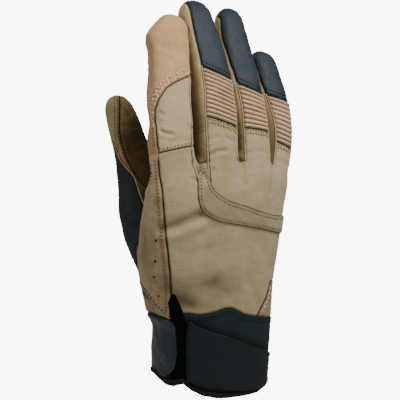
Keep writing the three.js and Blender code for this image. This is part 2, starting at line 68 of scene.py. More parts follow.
def smooth_table(xs, ys, n=240):
    """A dense smooth curve through the table's points."""
    xs, ys = np.asarray(xs, float), np.asarray(ys, float)
    h = np.diff(xs)
    dl = np.diff(ys) / h
    m = np.zeros_like(ys)
    m[0], m[-1] = dl[0], dl[-1]
    m[1:-1] = (dl[:-1] * h[1:] + dl[1:] * h[:-1]) / (h[1:] + h[:-1])
    X = np.linspace(xs[0], xs[-1], n)
    i = np.clip(np.searchsorted(xs, X, side="right") - 1, 0, len(xs) - 2)
    t = (X - xs[i]) / h[i]
    Y = (2 * t**3 - 3 * t**2 + 1) * ys[i] + (t**3 - 2 * t**2 + t) * h[i] * m[i] + (3 * t**2 - 2 * t**3) * ys[i + 1] + (t**3 - t**2) * h[i] * m[i + 1]
    return X, Y


class Limb:
    def __init__(self, O, d, u, n, cap, base, rows, m=2.3):
        self.O = np.array(O, float)
        self.d = np.array(d, float) / np.linalg.norm(d)
        w = np.array(u, float)
        w = w - (w @ self.d) * self.d
        self.u = w / np.linalg.norm(w)
        self.v = np.cross(self.u, self.d)
        self.n, self.m, self.cap, self.base = n, m, cap, base
        R = np.array(rows, float)
        self.cols = [smooth_table(R[:, 0], R[:, k]) for k in range(1, 6)]
        C = self.O + R[:, :1] * self.d + R[:, 1:2] * self.u + R[:, 2:3] * self.v
        pad = R[:, 3:].max() + 12
        self.lo, self.hi = C.min(0) - pad, C.max(0) + pad + 4

    def at(self, t):
        return [np.interp(t, c[0], c[1]) for c in self.cols]

    def local(self, P):
        q = P - self.O
        t = q @ self.d
        cu, cv, _, _, _ = self.at(t)
        return q @ self.u - cu, q @ self.v - cv, t

    def world(self, u, v, t):
        cu, cv, _, _, _ = self.at(t)
        return self.O + np.multiply.outer(u + cu, self.u) + np.multiply.outer(v + cv, self.v) + np.multiply.outer(t, self.d)

    def f(self, P):
        q = P - self.O
        t = q @ self.d
        cu, cv, A, Bd, Bp = self.at(t)
        dv = q @ self.v - cv
        B = np.where(dv > 0, Bd, Bp)
        ax = np.abs((q @ self.u - cu) / A) + 1e-9
        ay = np.abs(dv / B) + 1e-9
        n, m = self.n, self.m
        r = (ax**n + ay**n) ** (1 / n)
        c1 = np.maximum(0, t - self.cap[0]) / self.cap[1]
        c0 = np.maximum(0, self.base[0] - t) / self.base[1]
        c = np.maximum(c1, c0)
        hc = np.where(c1 >= c0, self.cap[1], self.base[1])
        rho = (r**m + c**m) ** (1 / m)
        dr = (r / rho) ** (m - 1)
        g = np.sqrt((dr * (ax / r) ** (n - 1) / A) ** 2 + (dr * (ay / r) ** (n - 1) / B) ** 2 + ((c / rho) ** (m - 1) / hc) ** 2)
        return (rho - 1) / np.maximum(g, 1e-3)


L = {k: Limb(**v) for k, v in LIMBS.items()}


def smin(a, b, k):
    h = np.maximum(k - np.abs(a - b), 0) / k
    return np.minimum(a, b) - h * h * k * 0.25


def field(P):
    """Distance-like value at P (n x 3): below zero inside the glove's outer surface."""
    out = np.full(len(P), 60.0)
    hand = np.full(len(P), 60.0)
    m = ((P > L["hand"].lo) & (P < L["hand"].hi)).all(1)
    hand[m] = L["hand"].f(P[m])
    out = hand.copy()
    for k in DIGITS:
        m = ((P > L[k].lo) & (P < L[k].hi)).all(1)
        if not m.any():
            continue
        g = L[k].f(P[m])
        if k == "index":
            # the cut corner of the fingertip, on the thumb's side
            u, _, t = L[k].local(P[m])
            g = g - 0.8 * np.exp(-((t - 102) / 5.5) ** 2) * np.clip(-u / 12, 0, 1.2) ** 2
            g = -smin(-g, -((u + 14.2) * -0.76 + (t - 104) * 0.65), 1.2)
        out[m] = np.minimum(out[m], smin(g, hand[m], BLEND[k]))
    return out


def gradient(P, e=0.25):
    g = np.empty_like(P)
    for i in range(3):
        d = np.zeros(3)
        d[i] = e
        g[:, i] = field(P + d) - field(P - d)
    return g / (np.linalg.norm(g, axis=1)[:, None] + 1e-12)


def surface_nets(F, origin, h):
    S = F < 0
    nx, ny, nz = F.shape
    c = np.zeros((nx - 1, ny - 1, nz - 1), np.int8)
    for i in (0, 1):
        for j in (0, 1):
            for k in (0, 1):
                c += S[i:nx - 1 + i, j:ny - 1 + j, k:nz - 1 + k]
    act = (c > 0) & (c < 8)
    ijk = np.argwhere(act)
    idx = -np.ones(c.shape, np.int32)
    idx[act] = np.arange(len(ijk))
    off = np.array([[i, j, k] for i in (0, 1) for j in (0, 1) for k in (0, 1)])
    W = np.stack([F[ijk[:, 0] + o[0], ijk[:, 1] + o[1], ijk[:, 2] + o[2]] for o in off], 1)
    acc, cnt = np.zeros((len(ijk), 3)), np.zeros(len(ijk))
    for a in range(8):
        for b in range(a + 1, 8):
            if np.abs(off[a] - off[b]).sum() != 1:
                continue
            va, vb = W[:, a], W[:, b]
            m = (va < 0) != (vb < 0)
            t = np.where(m, va / np.where(m, va - vb, 1), 0)
            acc += np.where(m[:, None], off[a] + (off[b] - off[a]) * t[:, None], 0)
            cnt += m
    V = origin + h * (ijk + acc / cnt[:, None])
    quads = []
    for ax in range(3):
        sl = [slice(1, -1)] * 3
        o1, o2 = [1, 2, 0][ax], [2, 0, 1][ax]
        a = [slice(None)] * 3
        a[ax] = slice(0, -1)
        b = [slice(None)] * 3
        b[ax] = slice(1, None)
        A, B = S[tuple(a)], S[tuple(b)]
        ch = np.argwhere(A != B)
        ch = ch[(ch[:, o1] > 0) & (ch[:, o2] > 0) & (ch[:, o1] < F.shape[o1] - 1) & (ch[:, o2] < F.shape[o2] - 1)]
        flip = A[ch[:, 0], ch[:, 1], ch[:, 2]]
        e1, e2 = np.zeros(3, int), np.zeros(3, int)
        e1[o1], e2[o2] = 1, 1
        q = [idx[tuple((ch - x).T)] for x in (e1 + e2, e2, 0 * e1, e1)]
        q = np.stack(q, 1)
        q = np.where(flip[:, None], q, q[:, ::-1])
        quads.append(q)
    return V, np.concatenate(quads)


def make_body(h):
    lo, hi = np.array([-58.0, -40.0, -7.0]), np.array([61.0, 86.0, 252.0])
    n = np.ceil((hi - lo) / h).astype(int)
    ax = [lo[i] + h * np.arange(n[i]) for i in range(3)]
    F = np.full(tuple(n), 60.0)

    def window(limb):
        a = np.clip(np.floor((limb.lo - lo) / h).astype(int), 0, n)
        b = np.clip(np.ceil((limb.hi - lo) / h).astype(int), 0, n)
        return tuple(slice(i, j) for i, j in zip(a, b))

    def points(w):
        return np.stack(np.meshgrid(*[ax[i][w[i]] for i in range(3)], indexing="ij"), -1)

    for k in ("hand",) + DIGITS:
        w = window(L[k])
        P = points(w)
        F[w] = np.minimum(F[w], field(P.reshape(-1, 3)).reshape(P.shape[:3]))
    V, Q = surface_nets(F, lo, h)
    T = np.concatenate([Q[:, [0, 1, 2]], Q[:, [0, 2, 3]]])
    E = np.concatenate([Q[:, [0, 1]], Q[:, [1, 2]], Q[:, [2, 3]], Q[:, [3, 0]]])
    for it in range(4):
        N = gradient(V)
        V = V - N * field(V)[:, None]
        if it < 3:
            s, c = np.zeros_like(V), np.zeros(len(V))
            for a, b in ((0, 1), (1, 0)):
                np.add.at(s, E[:, a], V[E[:, b]])
                np.add.at(c, E[:, a], 1)
            d = s / np.maximum(c, 1)[:, None] - V
            V = V + 0.6 * (d - (d * N).sum(1)[:, None] * N)
    return V, T


# ------------------------------------------------------------------ mesh tools (V n x 3 in mm, T m x 3)
def split(V, T, s):
    """Cuts the triangles along s = 0. Gives (V, T inside, T outside), s below zero being inside."""
    s = np.where(np.abs(s) < 1e-4, np.where(s < 0, -1e-4, 1e-4), s)
    neg = s < 0
    k = neg[T].sum(1)
    ins, out = T[k == 3], T[k == 0]
    mixed = T[(k == 1) | (k == 2)]
    if not len(mixed):
        return V, ins, out
    nm = neg[mixed]
    one = nm.sum(1) == 1
    lone = np.where(one, nm.argmax(1), (~nm).argmax(1))
    r = np.arange(len(mixed))
    a, b, c = mixed[r, lone], mixed[r, (lone + 1) % 3], mixed[r, (lone + 2) % 3]
    e = np.concatenate([np.stack([a, b], 1), np.stack([a, c], 1)])
    e.sort(1)
    key, inv = np.unique(e, axis=0, return_inverse=True)
    inv = inv.reshape(-1)
    t = s[key[:, 0]] / (s[key[:, 0]] - s[key[:, 1]])
    newV = V[key[:, 0]] + (V[key[:, 1]] - V[key[:, 0]]) * t[:, None]
    p, q = inv[:len(mixed)] + len(V), inv[len(mixed):] + len(V)
    tip = np.stack([a, p, q], 1)
    rest = np.concatenate([np.stack([p, b, c], 1), np.stack([p, c, q], 1)])
    one2 = np.concatenate([one, one])
    ins = np.concatenate([ins, tip[one], rest[~one2]])
    out = np.concatenate([out, tip[~one], rest[one2]])
    return np.concatenate([V, newV]), ins, out


def compact(V, T, weld=0.16):
    """Only the used points, with short edges closed up."""
    used, inv = np.unique(T, return_inverse=True)
    V, T = V[used], inv.reshape(-1, 3)
    for _ in range(3):
        e = np.concatenate([T[:, [0, 1]], T[:, [1, 2]], T[:, [2, 0]]])
        e.sort(1)
        e = np.unique(e, axis=0)
        ln = np.linalg.norm(V[e[:, 0]] - V[e[:, 1]], axis=1)
        short = e[ln < weld]
        if not len(short):
            break
        rim = boundary_mask(V, T)
        parent = np.arange(len(V))
        taken = np.zeros(len(V), bool)
        for i, j in short[np.argsort(ln[ln < weld])]:
            if taken[i] or taken[j]:
                continue
            taken[i] = taken[j] = True
            if rim[j] and not rim[i]:
                i, j = j, i
            parent[j] = i
        T = parent[T]
        T = T[(T[:, 0] != T[:, 1]) & (T[:, 1] != T[:, 2]) & (T[:, 2] != T[:, 0])]
        used, inv = np.unique(T, return_inverse=True)
        V, T = V[used], inv.reshape(-1, 3)
    return V, T


def boundary_edges(T):
    e = np.concatenate([T[:, [0, 1]], T[:, [1, 2]], T[:, [2, 0]]])
    key = np.sort(e, 1)
    u, inv, cnt = np.unique(key, axis=0, return_inverse=True, return_counts=True)
    return e[cnt[inv.reshape(-1)] == 1]


def boundary_mask(V, T):
    m = np.zeros(len(V), bool)
    m[boundary_edges(T).ravel()] = True
    return m


def keep_large(V, T, least=8, rest=False):
    """Parts loose crumbs left by the cuts from the rest."""
    lab = np.arange(len(V))
    for _ in range(400):
        m = lab[T].min(1)
        new = lab.copy()
        for i in range(3):
            np.minimum.at(new, T[:, i], m)
        new = new[new]
        if (new == lab).all():
            break
        lab = new
    ids, inv, cnt = np.unique(lab[T[:, 0]], return_inverse=True, return_counts=True)
    big = cnt[inv.reshape(-1)] >= least
    return (V, T[big], T[~big]) if rest else (V, T[big])


def refine(V, T, times=1, snap=True):
    for _ in range(times):
        e = np.concatenate([T[:, [0, 1]], T[:, [1, 2]], T[:, [2, 0]]])
        e.sort(1)
        key, inv = np.unique(e, axis=0, return_inverse=True)
        inv = inv.reshape(-1) + len(V)
        mid = (V[key[:, 0]] + V[key[:, 1]]) / 2
        m = len(T)
        ab, bc, ca = inv[:m], inv[m:2 * m], inv[2 * m:]
        V = np.concatenate([V, mid])
        T = np.concatenate([np.stack([T[:, 0], ab, ca], 1), np.stack([ab, T[:, 1], bc], 1), np.stack([ca, bc, T[:, 2]], 1), np.stack([ab, bc, ca], 1)])
    if snap:
        V = V - gradient(V) * field(V)[:, None]
    return V, T


def nearest(points, P, reach=8.0):
    """Distance from each of P to the nearest of points, no more than reach."""
    out = np.full(len(P), reach)
    if not len(points):
        return out
    tree = kdtree.KDTree(len(points))
    for i, p in enumerate(points):
        tree.insert(p, i)
    tree.balance()
    lo, hi = points.min(0) - reach, points.max(0) + reach
    for i in np.nonzero(((P > lo) & (P < hi)).all(1))[0]:
        d = tree.find(P[i])[2]
        if d < reach:
            out[i] = d
    return out


def dense(points, step=0.3):
    """Extra points along boundary edges given as pairs."""
    a, b = points
    n = int(max(1, np.ceil(np.linalg.norm(a - b, axis=1).max() / step)))
    return np.concatenate([a + (b - a) * k / n for k in range(n)]) if len(a) else np.zeros((0, 3))


def outline(points, closed=True, per=8):
    """A smooth outline through a few points."""
    P = np.array(points, float)
    n = len(P)
    out = []
    for i in range(n if closed else n - 1):
        p0 = P[(i - 1) % n] if closed or i else P[0]
        p1, p2 = P[i], P[(i + 1) % n]
        p3 = P[(i + 2) % n] if closed or i + 2 < n else P[-1]
        for k in range(per):
            t = k / per
            out.append(0.5 * (2 * p1 + (p2 - p0) * t + (2 * p0 - 5 * p1 + 4 * p2 - p3) * t * t + (3 * p1 - p0 - 3 * p2 + p3) * t**3))
    if not closed:
        out.append(P[-1])
    return np.array(out)


def inside(poly, X, Y):
    """Signed distance to a closed outline, below zero inside it."""
    d = np.full(len(X), 1e9)
    odd = np.zeros(len(X), bool)
    for (ax, ay), (bx, by) in zip(poly, np.roll(poly, -1, 0)):
        ex, ey = bx - ax, by - ay
        t = np.clip(((X - ax) * ex + (Y - ay) * ey) / (ex * ex + ey * ey + 1e-12), 0, 1)
        d = np.minimum(d, (X - ax - t * ex) ** 2 + (Y - ay - t * ey) ** 2)
        odd ^= ((ay > Y) != (by > Y)) & (X < (bx - ax) * (Y - ay) / (by - ay + 1e-12) + ax)
    return np.where(odd, -1, 1) * np.sqrt(d)


def curve_at(points):
    """y as a smooth function of x through the points, flat beyond the ends."""
    P = np.array(sorted(points), float)
    X, Y = smooth_table(P[:, 0], P[:, 1])
    return lambda x: np.interp(x, X, Y)


# ------------------------------------------------------------------ lines on the glove, in mm
RIM = [(-60, 20), (-42, 18), (-38.5, 15.6), (-37, 11.8), (-35.4, 9.6), (-32.9, 9.3), (-30.4, 10.5), (-28.3, 11.2), (-26.5, 9.2), (-23.9, 6.9), (-17, 3.1), (-8, 0.8), (0, 0.2), (12, 0.1), (22, 0.5), (27, 2.3), (31, 4.6), (36, 6), (60, 6.5)]
CUFF_TOP = [(-90, 55.5), (-43, 55.2), (-36, 52.2), (-30, 56), (-20, 55.4), (-10, 56.5), (0.7, 57.9), (6, 55.6), (10, 53.2), (20, 50.4), (33, 47.2), (90, 47)]
STRIP_SEAM = [(40, -35), (53, -35.2), (60, -36.2), (70.5, -37.3), (90, -40.2), (112, -43.4), (129, -45.4), (141, -45.9), (157, -46.8), (175, -47)]      # z, x
STRIP_EDGE = [(45, -20), (51.7, -13.5), (58.6, -7.1), (69.2, 6.6), (70.4, 11), (83.8, 18.3), (92.8, 20.8), (104.6, 24.2), (112, 15), (120, 1), (130, -5), (165, -9)]   # z, y
ULNAR = [(32.5, 70), (30.1, 63.5), (27.7, 59.3), (21, 51), (17, 44), (60, 44), (60, 70)]
ZONE = {"index": 29, "middle": 25, "ring": 25, "little": 23, "thumb": 30}
# panels on the finger backs: left and right edge (t, u), seams given at u = -12 and +12
BACKS = {
    "middle": dict(left=[(0, -9), (23, -10), (38, -10.2), (53, -10.3), (68, -9.4), (88, -8.7), (101, -8.2), (115, -7), (126, -5.6), (140, -4)],
                   right=[(0, 9.6), (38, 10.6), (68, 10.6), (88, 10.2), (101, 9.7), (115, 8.6), (126, 7.0), (140, 5)], ribs=(52.8, 44), tip=(84.9, 72.4), count=11),
    "ring": dict(left=[(0, -8), (23, -8.4), (44, -8.2), (57, -7.6), (73, -7.9), (87, -8.7), (98, -8.9), (111, -8.6), (120, -7.6), (130, -6)],
                 right=[(0, 8.2), (40, 9.2), (62, 9.3), (80, 9), (100, 8.4), (115, 7.2), (130, 5)], ribs=(45.8, 42.6), tip=(75.5, 65), count=9),
    "little": dict(left=[(0, -4.4), (18, -4.0), (28, -3.6), (38, -3.4), (46, -3.9), (54, -5.0), (62, -6.4), (67, -6.9), (73, -7.5), (90, -7.6), (100, -6.6)],
                   right=[(0, 7.2), (40, 8.9), (60, 8.9), (75, 8.4), (90, 7.2), (102, 5.2)], ribs=(40, 33.3), tip=(68.8, 63.2), count=10),
}
INDEX_BACK = [(-11.8, 20), (-12.2, 36), (-12.3, 50), (-12.2, 57), (-10.8, 62.1), (-6.1, 69.3), (-0.1, 73.2), (6.3, 76), (11, 78), (30, 79), (30, 20)]
THUMB_SEAM = [(20, 14), (60, 12.5), (68, 9), (76.2, 3.3), (84.6, -0.6), (91.1, -2.9), (100.9, -4.5), (110.3, -4.0), (120.4, -0.9), (129.3, 2.0), (138, 4)]      # t, u
NAVY_EDGE = [(20, 7), (45, 6), (58, 3.6), (66.4, 2.0), (74.6, 0.5), (80.6, -0.6), (87, -4.2), (93.4, -7.5), (102.4, -9.0), (108, -10.2), (114, -13)]            # t, u
BAND = [(-22.3, 143.5), (-23.8, 135), (-23.4, 128), (-20.5, 121), (-15.8, 117.3), (-7.6, 113.6), (8, 109.8), (22, 106.2), (34.5, 102.2), (40, 100.2), (42.8, 101.4), (43.4, 105), (43.0, 109.6), (41, 111.6),
        (33.6, 112.8), (20, 117.2), (8.9, 121.6), (-2.8, 125.9), (-9.6, 130), (-14.2, 134.3), (-15.9, 140.7), (-16.4, 147)]
STRAP = [(-26.6, 49.5), (-21.9, 48.5), (-13.5, 44.7), (0.3, 39.5), (15.5, 32.4), (26.2, 27.8), (34.5, 23.5), (37.5, 19), (38, 14), (36, 7.5), (30, 3.6), (22.4, 2.6), (12.3, 3.1), (4.1, 4.2),
         (-7.3, 6.8), (-16, 8.3), (-24.6, 12), (-26.8, 13.6)]
GREY = [(-60, 51.4), (-38.4, 51.6), (-35.2, 51.2), (-33.2, 49.4), (-32.1, 46), (-31.5, 39), (-31.5, 29.5), (-32.1, 23.7), (-33.7, 18.8), (-35.6, 15.8), (-37.6, 13.6), (-60, 10)]
GUSSET = [(-36.1, 69.6), (-37.3, 66.5), (-37.9, 63.8), (-37.1, 60.5), (-36, 56.5), (-35, 52.8), (-34.6, 48), (-34, 40), (-34, 24), (-34.8, 13), (-25.4, 9), (-25.7, 17), (-25.8, 36), (-26.4, 47), (-27.4, 51), (-28.6, 54.6), (-30.0, 58), (-31.6, 61.6), (-33.1, 65), (-34.4, 67.6)]
strip_seam, strip_edge = curve_at(STRIP_SEAM), curve_at(STRIP_EDGE)
RIM_PALM = [(-60, 20), (-42, 18), (-37.5, 14.6), (-33, 12.4), (-28, 8.6), (-20, 4), (-10, 0.4), (30, 0.4), (36, 3), (60, 6)]


def rim_line(x, y):
    w = np.clip((y + 5) / 8, 0, 1)
    return np.interp(x, *zip(*RIM)) * (1 - w) + np.interp(x, *zip(*RIM_PALM)) * w



cuff_line = curve_at(CUFF_TOP)
thumb_seam, navy_edge = curve_at(THUMB_SEAM), curve_at(NAVY_EDGE)
ribs_low = {k: (lambda u, r=v["ribs"]: r[0] + (u + 12) / 24 * (r[1] - r[0])) for k, v in BACKS.items()}
tip_low = {k: (lambda u, r=v["tip"]: r[0] + (u + 12) / 24 * (r[1] - r[0])) for k, v in BACKS.items()}
left_edge = {k: curve_at(v["left"]) for k, v in BACKS.items()}
right_edge = {k: curve_at(v["right"]) for k, v in BACKS.items()}


index_right = curve_at([(20, 10.2), (30, 10.6), (45, 10.9), (60, 11.1), (79, 11.4)])


class Spot:
    """Everything the seams need to know about a set of points, worked out once."""

    def __init__(self, P):
        self.P = P
        self.x, self.y, self.z = P.T
        self.f, self.loc = {}, {}
        for k in L:
            f = np.full(len(P), 60.0)
            m = ((P > L[k].lo) & (P < L[k].hi)).all(1)
            f[m] = L[k].f(P[m])
            self.f[k] = f
            self.loc[k] = L[k].local(P)
        self.v = self.loc["hand"][1]

    def other(self, k):
        return np.min([self.f[j] for j in DIGITS if j != k], 0)

    def zone(self, k, lower=0):
        u, v, t = self.loc[k]
        if k == "thumb":
            return np.max([ZONE[k] - t, self.f[k] - self.f["hand"]], 0)
        if k == "index":
            lower = lower - 3.6 - 0.21 * np.clip(u, -13, 13)
        return np.max([ZONE[k] - lower - t, self.f[k] - self.other(k), self.f[k] - 3], 0)

    def back_of(self, k):
        u, v, t = self.loc[k]
        return np.max([left_edge[k](t) - u, u - right_edge[k](t), -v], 0)


def hand_back(S):
    zones = np.min([S.zone(k) for k in DIGITS], 0)
    main = np.max([strip_seam(S.z) - S.x, 2 - S.v, S.z - 172, -zones], 0)
    lows = [np.max([S.back_of(k), S.loc[k][2] - ribs_low[k](S.loc[k][0]), S.zone(k, 8)], 0) for k in BACKS]
    return np.min([main] + lows, 0)


REGIONS = [
    ("cuff_wall", lambda S: S.z - cuff_line(S.x)),
    ("ulnar_corner", lambda S: np.maximum(inside(np.array(ULNAR), S.x, S.z), 2 - S.v)),
    ("back_panel", hand_back),
    ("index_wall", lambda S: np.max([S.zone("index"), index_right(S.loc["index"][2]) - S.loc["index"][0], S.loc["index"][2] - 79, -4 - S.loc["index"][1]], 0)),
    ("index_back", lambda S: np.max([S.zone("index"), inside(np.array(INDEX_BACK), S.loc["index"][0], S.loc["index"][2]), 2 - S.loc["index"][1]], 0)),
    ("index_palm", lambda S: np.maximum(S.zone("index"), S.loc["index"][1] + 4)),
    ("index_cap", lambda S: S.zone("index")),
]
for k in BACKS:
    REGIONS += [
        (k + "_tip", lambda S, k=k: np.max([S.zone(k), S.back_of(k), tip_low[k](S.loc[k][0]) - S.loc[k][2]], 0)),
        (k + "_ribs", lambda S, k=k: np.max([S.zone(k), S.back_of(k)], 0)),
        (k + "_palm", lambda S, k=k: np.maximum(S.zone(k), S.loc[k][1] + 5)),
        (k + "_wall", lambda S, k=k: S.zone(k)),
    ]
REGIONS += [
    ("side_strip", lambda S: np.max([S.x - strip_seam(S.z), S.y - strip_edge(S.z), S.z - 172, S.x + 30, np.minimum(S.z - 108, S.f["hand"] - S.f["thumb"])], 0)),
    ("thumb_palm", lambda S: np.maximum(S.zone("thumb"), S.loc["thumb"][1] + 4)),
    ("thumb_inner", lambda S: np.maximum(S.zone("thumb"), thumb_seam(S.loc["thumb"][2]) - S.loc["thumb"][0])),
    ("thumb_side", lambda S: np.maximum(S.zone("thumb"), S.loc["thumb"][0] - navy_edge(S.loc["thumb"][2]))),
    ("thumb_strip", lambda S: S.zone("thumb")),
    ("thumb_base", lambda S: np.max([-4 - S.loc["thumb"][1], 66 - S.z + 0.25 * (S.y - 10), S.x + 22, S.f["thumb"] - S.f["hand"] - 14, S.z - 88], 0)),
]

# folds and dents of the glove as it sits on the hand: a path on the surface, depth, half width
FOLDS = [
    ([(-43, -20, 111.7), (-33.1, -24, 115.2), (-22.3, -28, 118.8)], -1.6, 3.4),
    ([(-39, -20, 106), (-30, -24, 109), (-20, -27, 112.5)], 0.7, 3.0),
    ([(-38, -19, 73), (-33.5, -20, 66), (-25, -24, 62)], -1.3, 4.8),
    ([(-29, -23, 72), (-20, -26, 74), (-12, -28, 76)], -0.8, 4.2),
    ([(-12, -28, 80), (-6, -28, 74), (0, -28, 66)], -0.6, 7.0),
    ([(-20, -26, 63), (-8, -27, 62), (4, -27, 63)], 0.5, 3.0),
    ([(-37, -18, 100), (-28, -22, 96), (-16, -26, 97)], -0.5, 4.0),
    ([(4, -29, 92), (-6, -29, 96), (-16, -28, 97)], -0.45, 5.0),
    ([(14, -27, 74), (20, -26, 66), (22, -25, 60)], -0.6, 4.0),
    ([(-24, -27, 84), (-16, -28, 80), (-8, -28, 83)], 0.45, 4.0),
    ([(22, -25, 96), (29, -22, 88), (33, -19, 79)], -0.5, 4.0),
    ([(-24, -24, 150), (-20.7, -25.6, 144.9), (-17, -27, 139)], -0.9, 1.8),
    ([(-27, -25, 141), (-22, -26.5, 138.5)], -0.6, 1.3),
    ([(-13, -28, 146), (-16.5, -27.5, 141)], -0.6, 1.3),
    ([(7.8, -22, 152), (7.6, -26, 143), (8.6, -28, 136)], -0.9, 1.8),
    ([(28.3, -24, 141), (27, -26, 134), (26, -27, 128)], -0.9, 1.8),
]
# the same along a digit: name, [(u, t)], depth, half width
CREASES = [
    ("thumb", [(1.7, 130.5), (6.5, 121.9)], -0.9, 1.6), ("thumb", [(-0.3, 115.1), (3, 114.8), (7, 113.6)], -0.7, 1.3),
    ("thumb", [(0, 99), (4, 97), (8, 97.5)], -0.6, 1.6), ("thumb", [(-11, 62), (-9.8, 57.7), (-3, 50)], -0.8, 2.4),
    ("thumb", [(-9, 88), (-4, 84), (0, 82.5)], -0.5, 1.8),
    ("index", [(-10.6, 43.2), (-8, 41.9), (-3, 41.2)], -1.0, 1.2), ("index", [(-12, 54), (-9.4, 52.8)], -0.45, 1.1),
    ("index", [(8, 47), (10.8, 45)], -0.45, 1.2), ("index", [(-4, 36.5), (4, 38), (9, 37.6)], -0.35, 2.0), ("index", [(-8, 96), (0, 94), (9, 95)], -0.3, 2.2),
    ("middle", [(-8.4, 29.1), (-4, 30.6), (1, 31.1)], -1.0, 1.4), ("middle", [(2, 38.5), (7, 36)], -0.4, 1.3), ("middle", [(-9, 38), (-3, 39.5)], -0.35, 1.4),
    ("middle", [(-6, 99), (0, 97), (6, 97.5)], -0.3, 2.0),
    ("ring", [(-7, 29), (0, 31), (6, 29)], -0.4, 1.5), ("ring", [(-6, 88), (0, 86.6), (6, 86)], -0.3, 1.8),
    ("little", [(-5, 24), (0, 25.5), (6, 24)], -0.4, 1.4), ("little", [(-4, 77), (0, 76), (5, 76)], -0.3, 1.5),
]


def soft_noise(P, size, seed):
    """A smooth value in about -1..1 that changes over the given size."""
    g = np.random.default_rng(seed)
    out = np.zeros(len(P))
    for _ in range(7):
        k = g.normal(size=3)
        k *= 2 * math.pi / size / np.linalg.norm(k) * g.uniform(0.6, 1.4)
        out += np.sin(P @ k + g.uniform(0, 6.28))
    return out / 4


def path_distance(pts, P):
    d = np.full(len(P), 1e9)
    for a, b in zip(pts[:-1], pts[1:]):
        e = b - a
        t = np.clip(((P - a) @ e) / (e @ e), 0, 1)
        d = np.minimum(d, np.linalg.norm(P - a - t[:, None] * e, axis=1))
    return d


def on_skin(P):
    for _ in range(6):
        P = P - gradient(P) * field(P)[:, None]
    return P


PATHS = []
for pts, depth, width in FOLDS:
    PATHS.append((on_skin(outline(pts, False, 4)), depth, width))
for k, pts, depth, width in CREASES:
    p = outline([(a, b, 0) for a, b in pts], False, 4)
    PATHS.append((on_skin(L[k].world(p[:, 0], np.full(len(p), 9.0), p[:, 1])), depth, width))


def folds(P):
    """Displacement along the normal that every panel shares."""
    out = 0.2 * soft_noise(P, 16, 3) + 0.07 * soft_noise(P, 7, 4) + 0.09 * soft_noise(P * [0.35, 0.6, 1.5], 7, 5)
    palm = np.clip((P[:, 1] - 2) / 8, 0, 1) * np.clip((118 - P[:, 2]) / 20, 0, 1)
    out += palm * 0.35 * soft_noise(P * [1, 1, 1.6], 20, 8)
    for pts, depth, width in PATHS:
        lo, hi = pts.min(0) - 3 * width - 2, pts.max(0) + 3 * width + 2
        m = ((P > lo) & (P < hi)).all(1)
        if m.any():
            d = path_distance(pts, P[m])
            g = np.exp(-(d / width) ** 2)
            side = np.exp(-((d - 1.9 * width) / width) ** 2)
            out[m] += depth * g - 0.3 * depth * side
    return out


# ------------------------------------------------------------------ building the panels
def vertex_normals(V, T):
    n = np.cross(V[T[:, 1]] - V[T[:, 0]], V[T[:, 2]] - V[T[:, 0]])
    N = np.zeros_like(V)
    for i in range(3):
        np.add.at(N, T[:, i], n)
    return N / (np.linalg.norm(N, axis=1)[:, None] + 1e-12)


def cloth_coords(P, limb):
    """Flattened position on the cloth in metres: round the limb, and along it."""
    u, v, t = L[limb].local(P)
    B = 20.0 if limb == "hand" else 9.5
    a = np.where(v > 0, u - np.sign(u) * np.clip(v - B, -B, 0), u)
    return np.stack([a, t], 1) * MM


def new_object(name, V, T, cloth=None, smooth=True, shade=None):
    me = bpy.data.meshes.new(name)
    me.vertices.add(len(V))
    me.vertices.foreach_set("co", (V * MM).astype(np.float32).ravel())
    me.loops.add(len(T) * 3)
    me.loops.foreach_set("vertex_index", T.astype(np.int32).ravel())
    me.polygons.add(len(T))
    me.polygons.foreach_set("loop_start", np.arange(0, len(T) * 3, 3, dtype=np.int32))
    me.polygons.foreach_set("loop_total", np.full(len(T), 3, np.int32))
    me.update(calc_edges=True)
    me.validate()
    if smooth:
        me.polygons.foreach_set("use_smooth", np.ones(len(me.polygons), bool))
    if cloth is not None:
        uv = me.uv_layers.new(name="cloth")
        idx = np.empty(len(me.loops), np.int32)
        me.loops.foreach_get("vertex_index", idx)
        uv.data.foreach_set("uv", cloth[idx].astype(np.float32).ravel())
        uv = me.uv_layers.new(name="shade")
        two = np.stack([shade if shade is not None else np.zeros(len(V)), np.zeros(len(V))], 1)
        uv.data.foreach_set("uv", two[idx].astype(np.float32).ravel())
    ob = bpy.data.objects.new(name, me)
    bpy.context.scene.collection.objects.link(ob)
    return ob


def shell_of(V, N, T, thick):
    """Outer face, inner face at its own depth and the walls between them."""
    n = len(V)
    inner = V - N * (thick[:, None] if np.ndim(thick) else thick)
    be = boundary_edges(T)
    a, b = be[:, 0], be[:, 1]
    m = len(a)
    W = np.concatenate([V[a], V[b], inner[b], inner[a]])
    i = np.arange(m) + 2 * n
    walls = np.concatenate([np.stack([i, i + 2 * m, i + m], 1), np.stack([i, i + 3 * m, i + 2 * m], 1)])
    src = np.concatenate([np.arange(n), np.arange(n), a, b, b, a])
    return np.concatenate([V, inner, W]), np.concatenate([T, T[:, ::-1] + n, walls]), src


pieces = {}      # name: object
panels = {}      # name: (V, T, N) of the plain panel, before its folds


def seam_profile(d):
    """The cloth turns down into a seam and stands up a little beside it."""
    return -0.6 * np.exp(-(d / 0.55) ** 2) + 0.16 * np.exp(-((d - 1.7) / 0.9) ** 2)


def pucker(P, d, size=3.2, amount=0.16):
    return amount * np.exp(-(d / 3.0) ** 2) * soft_noise(P, size, 11)


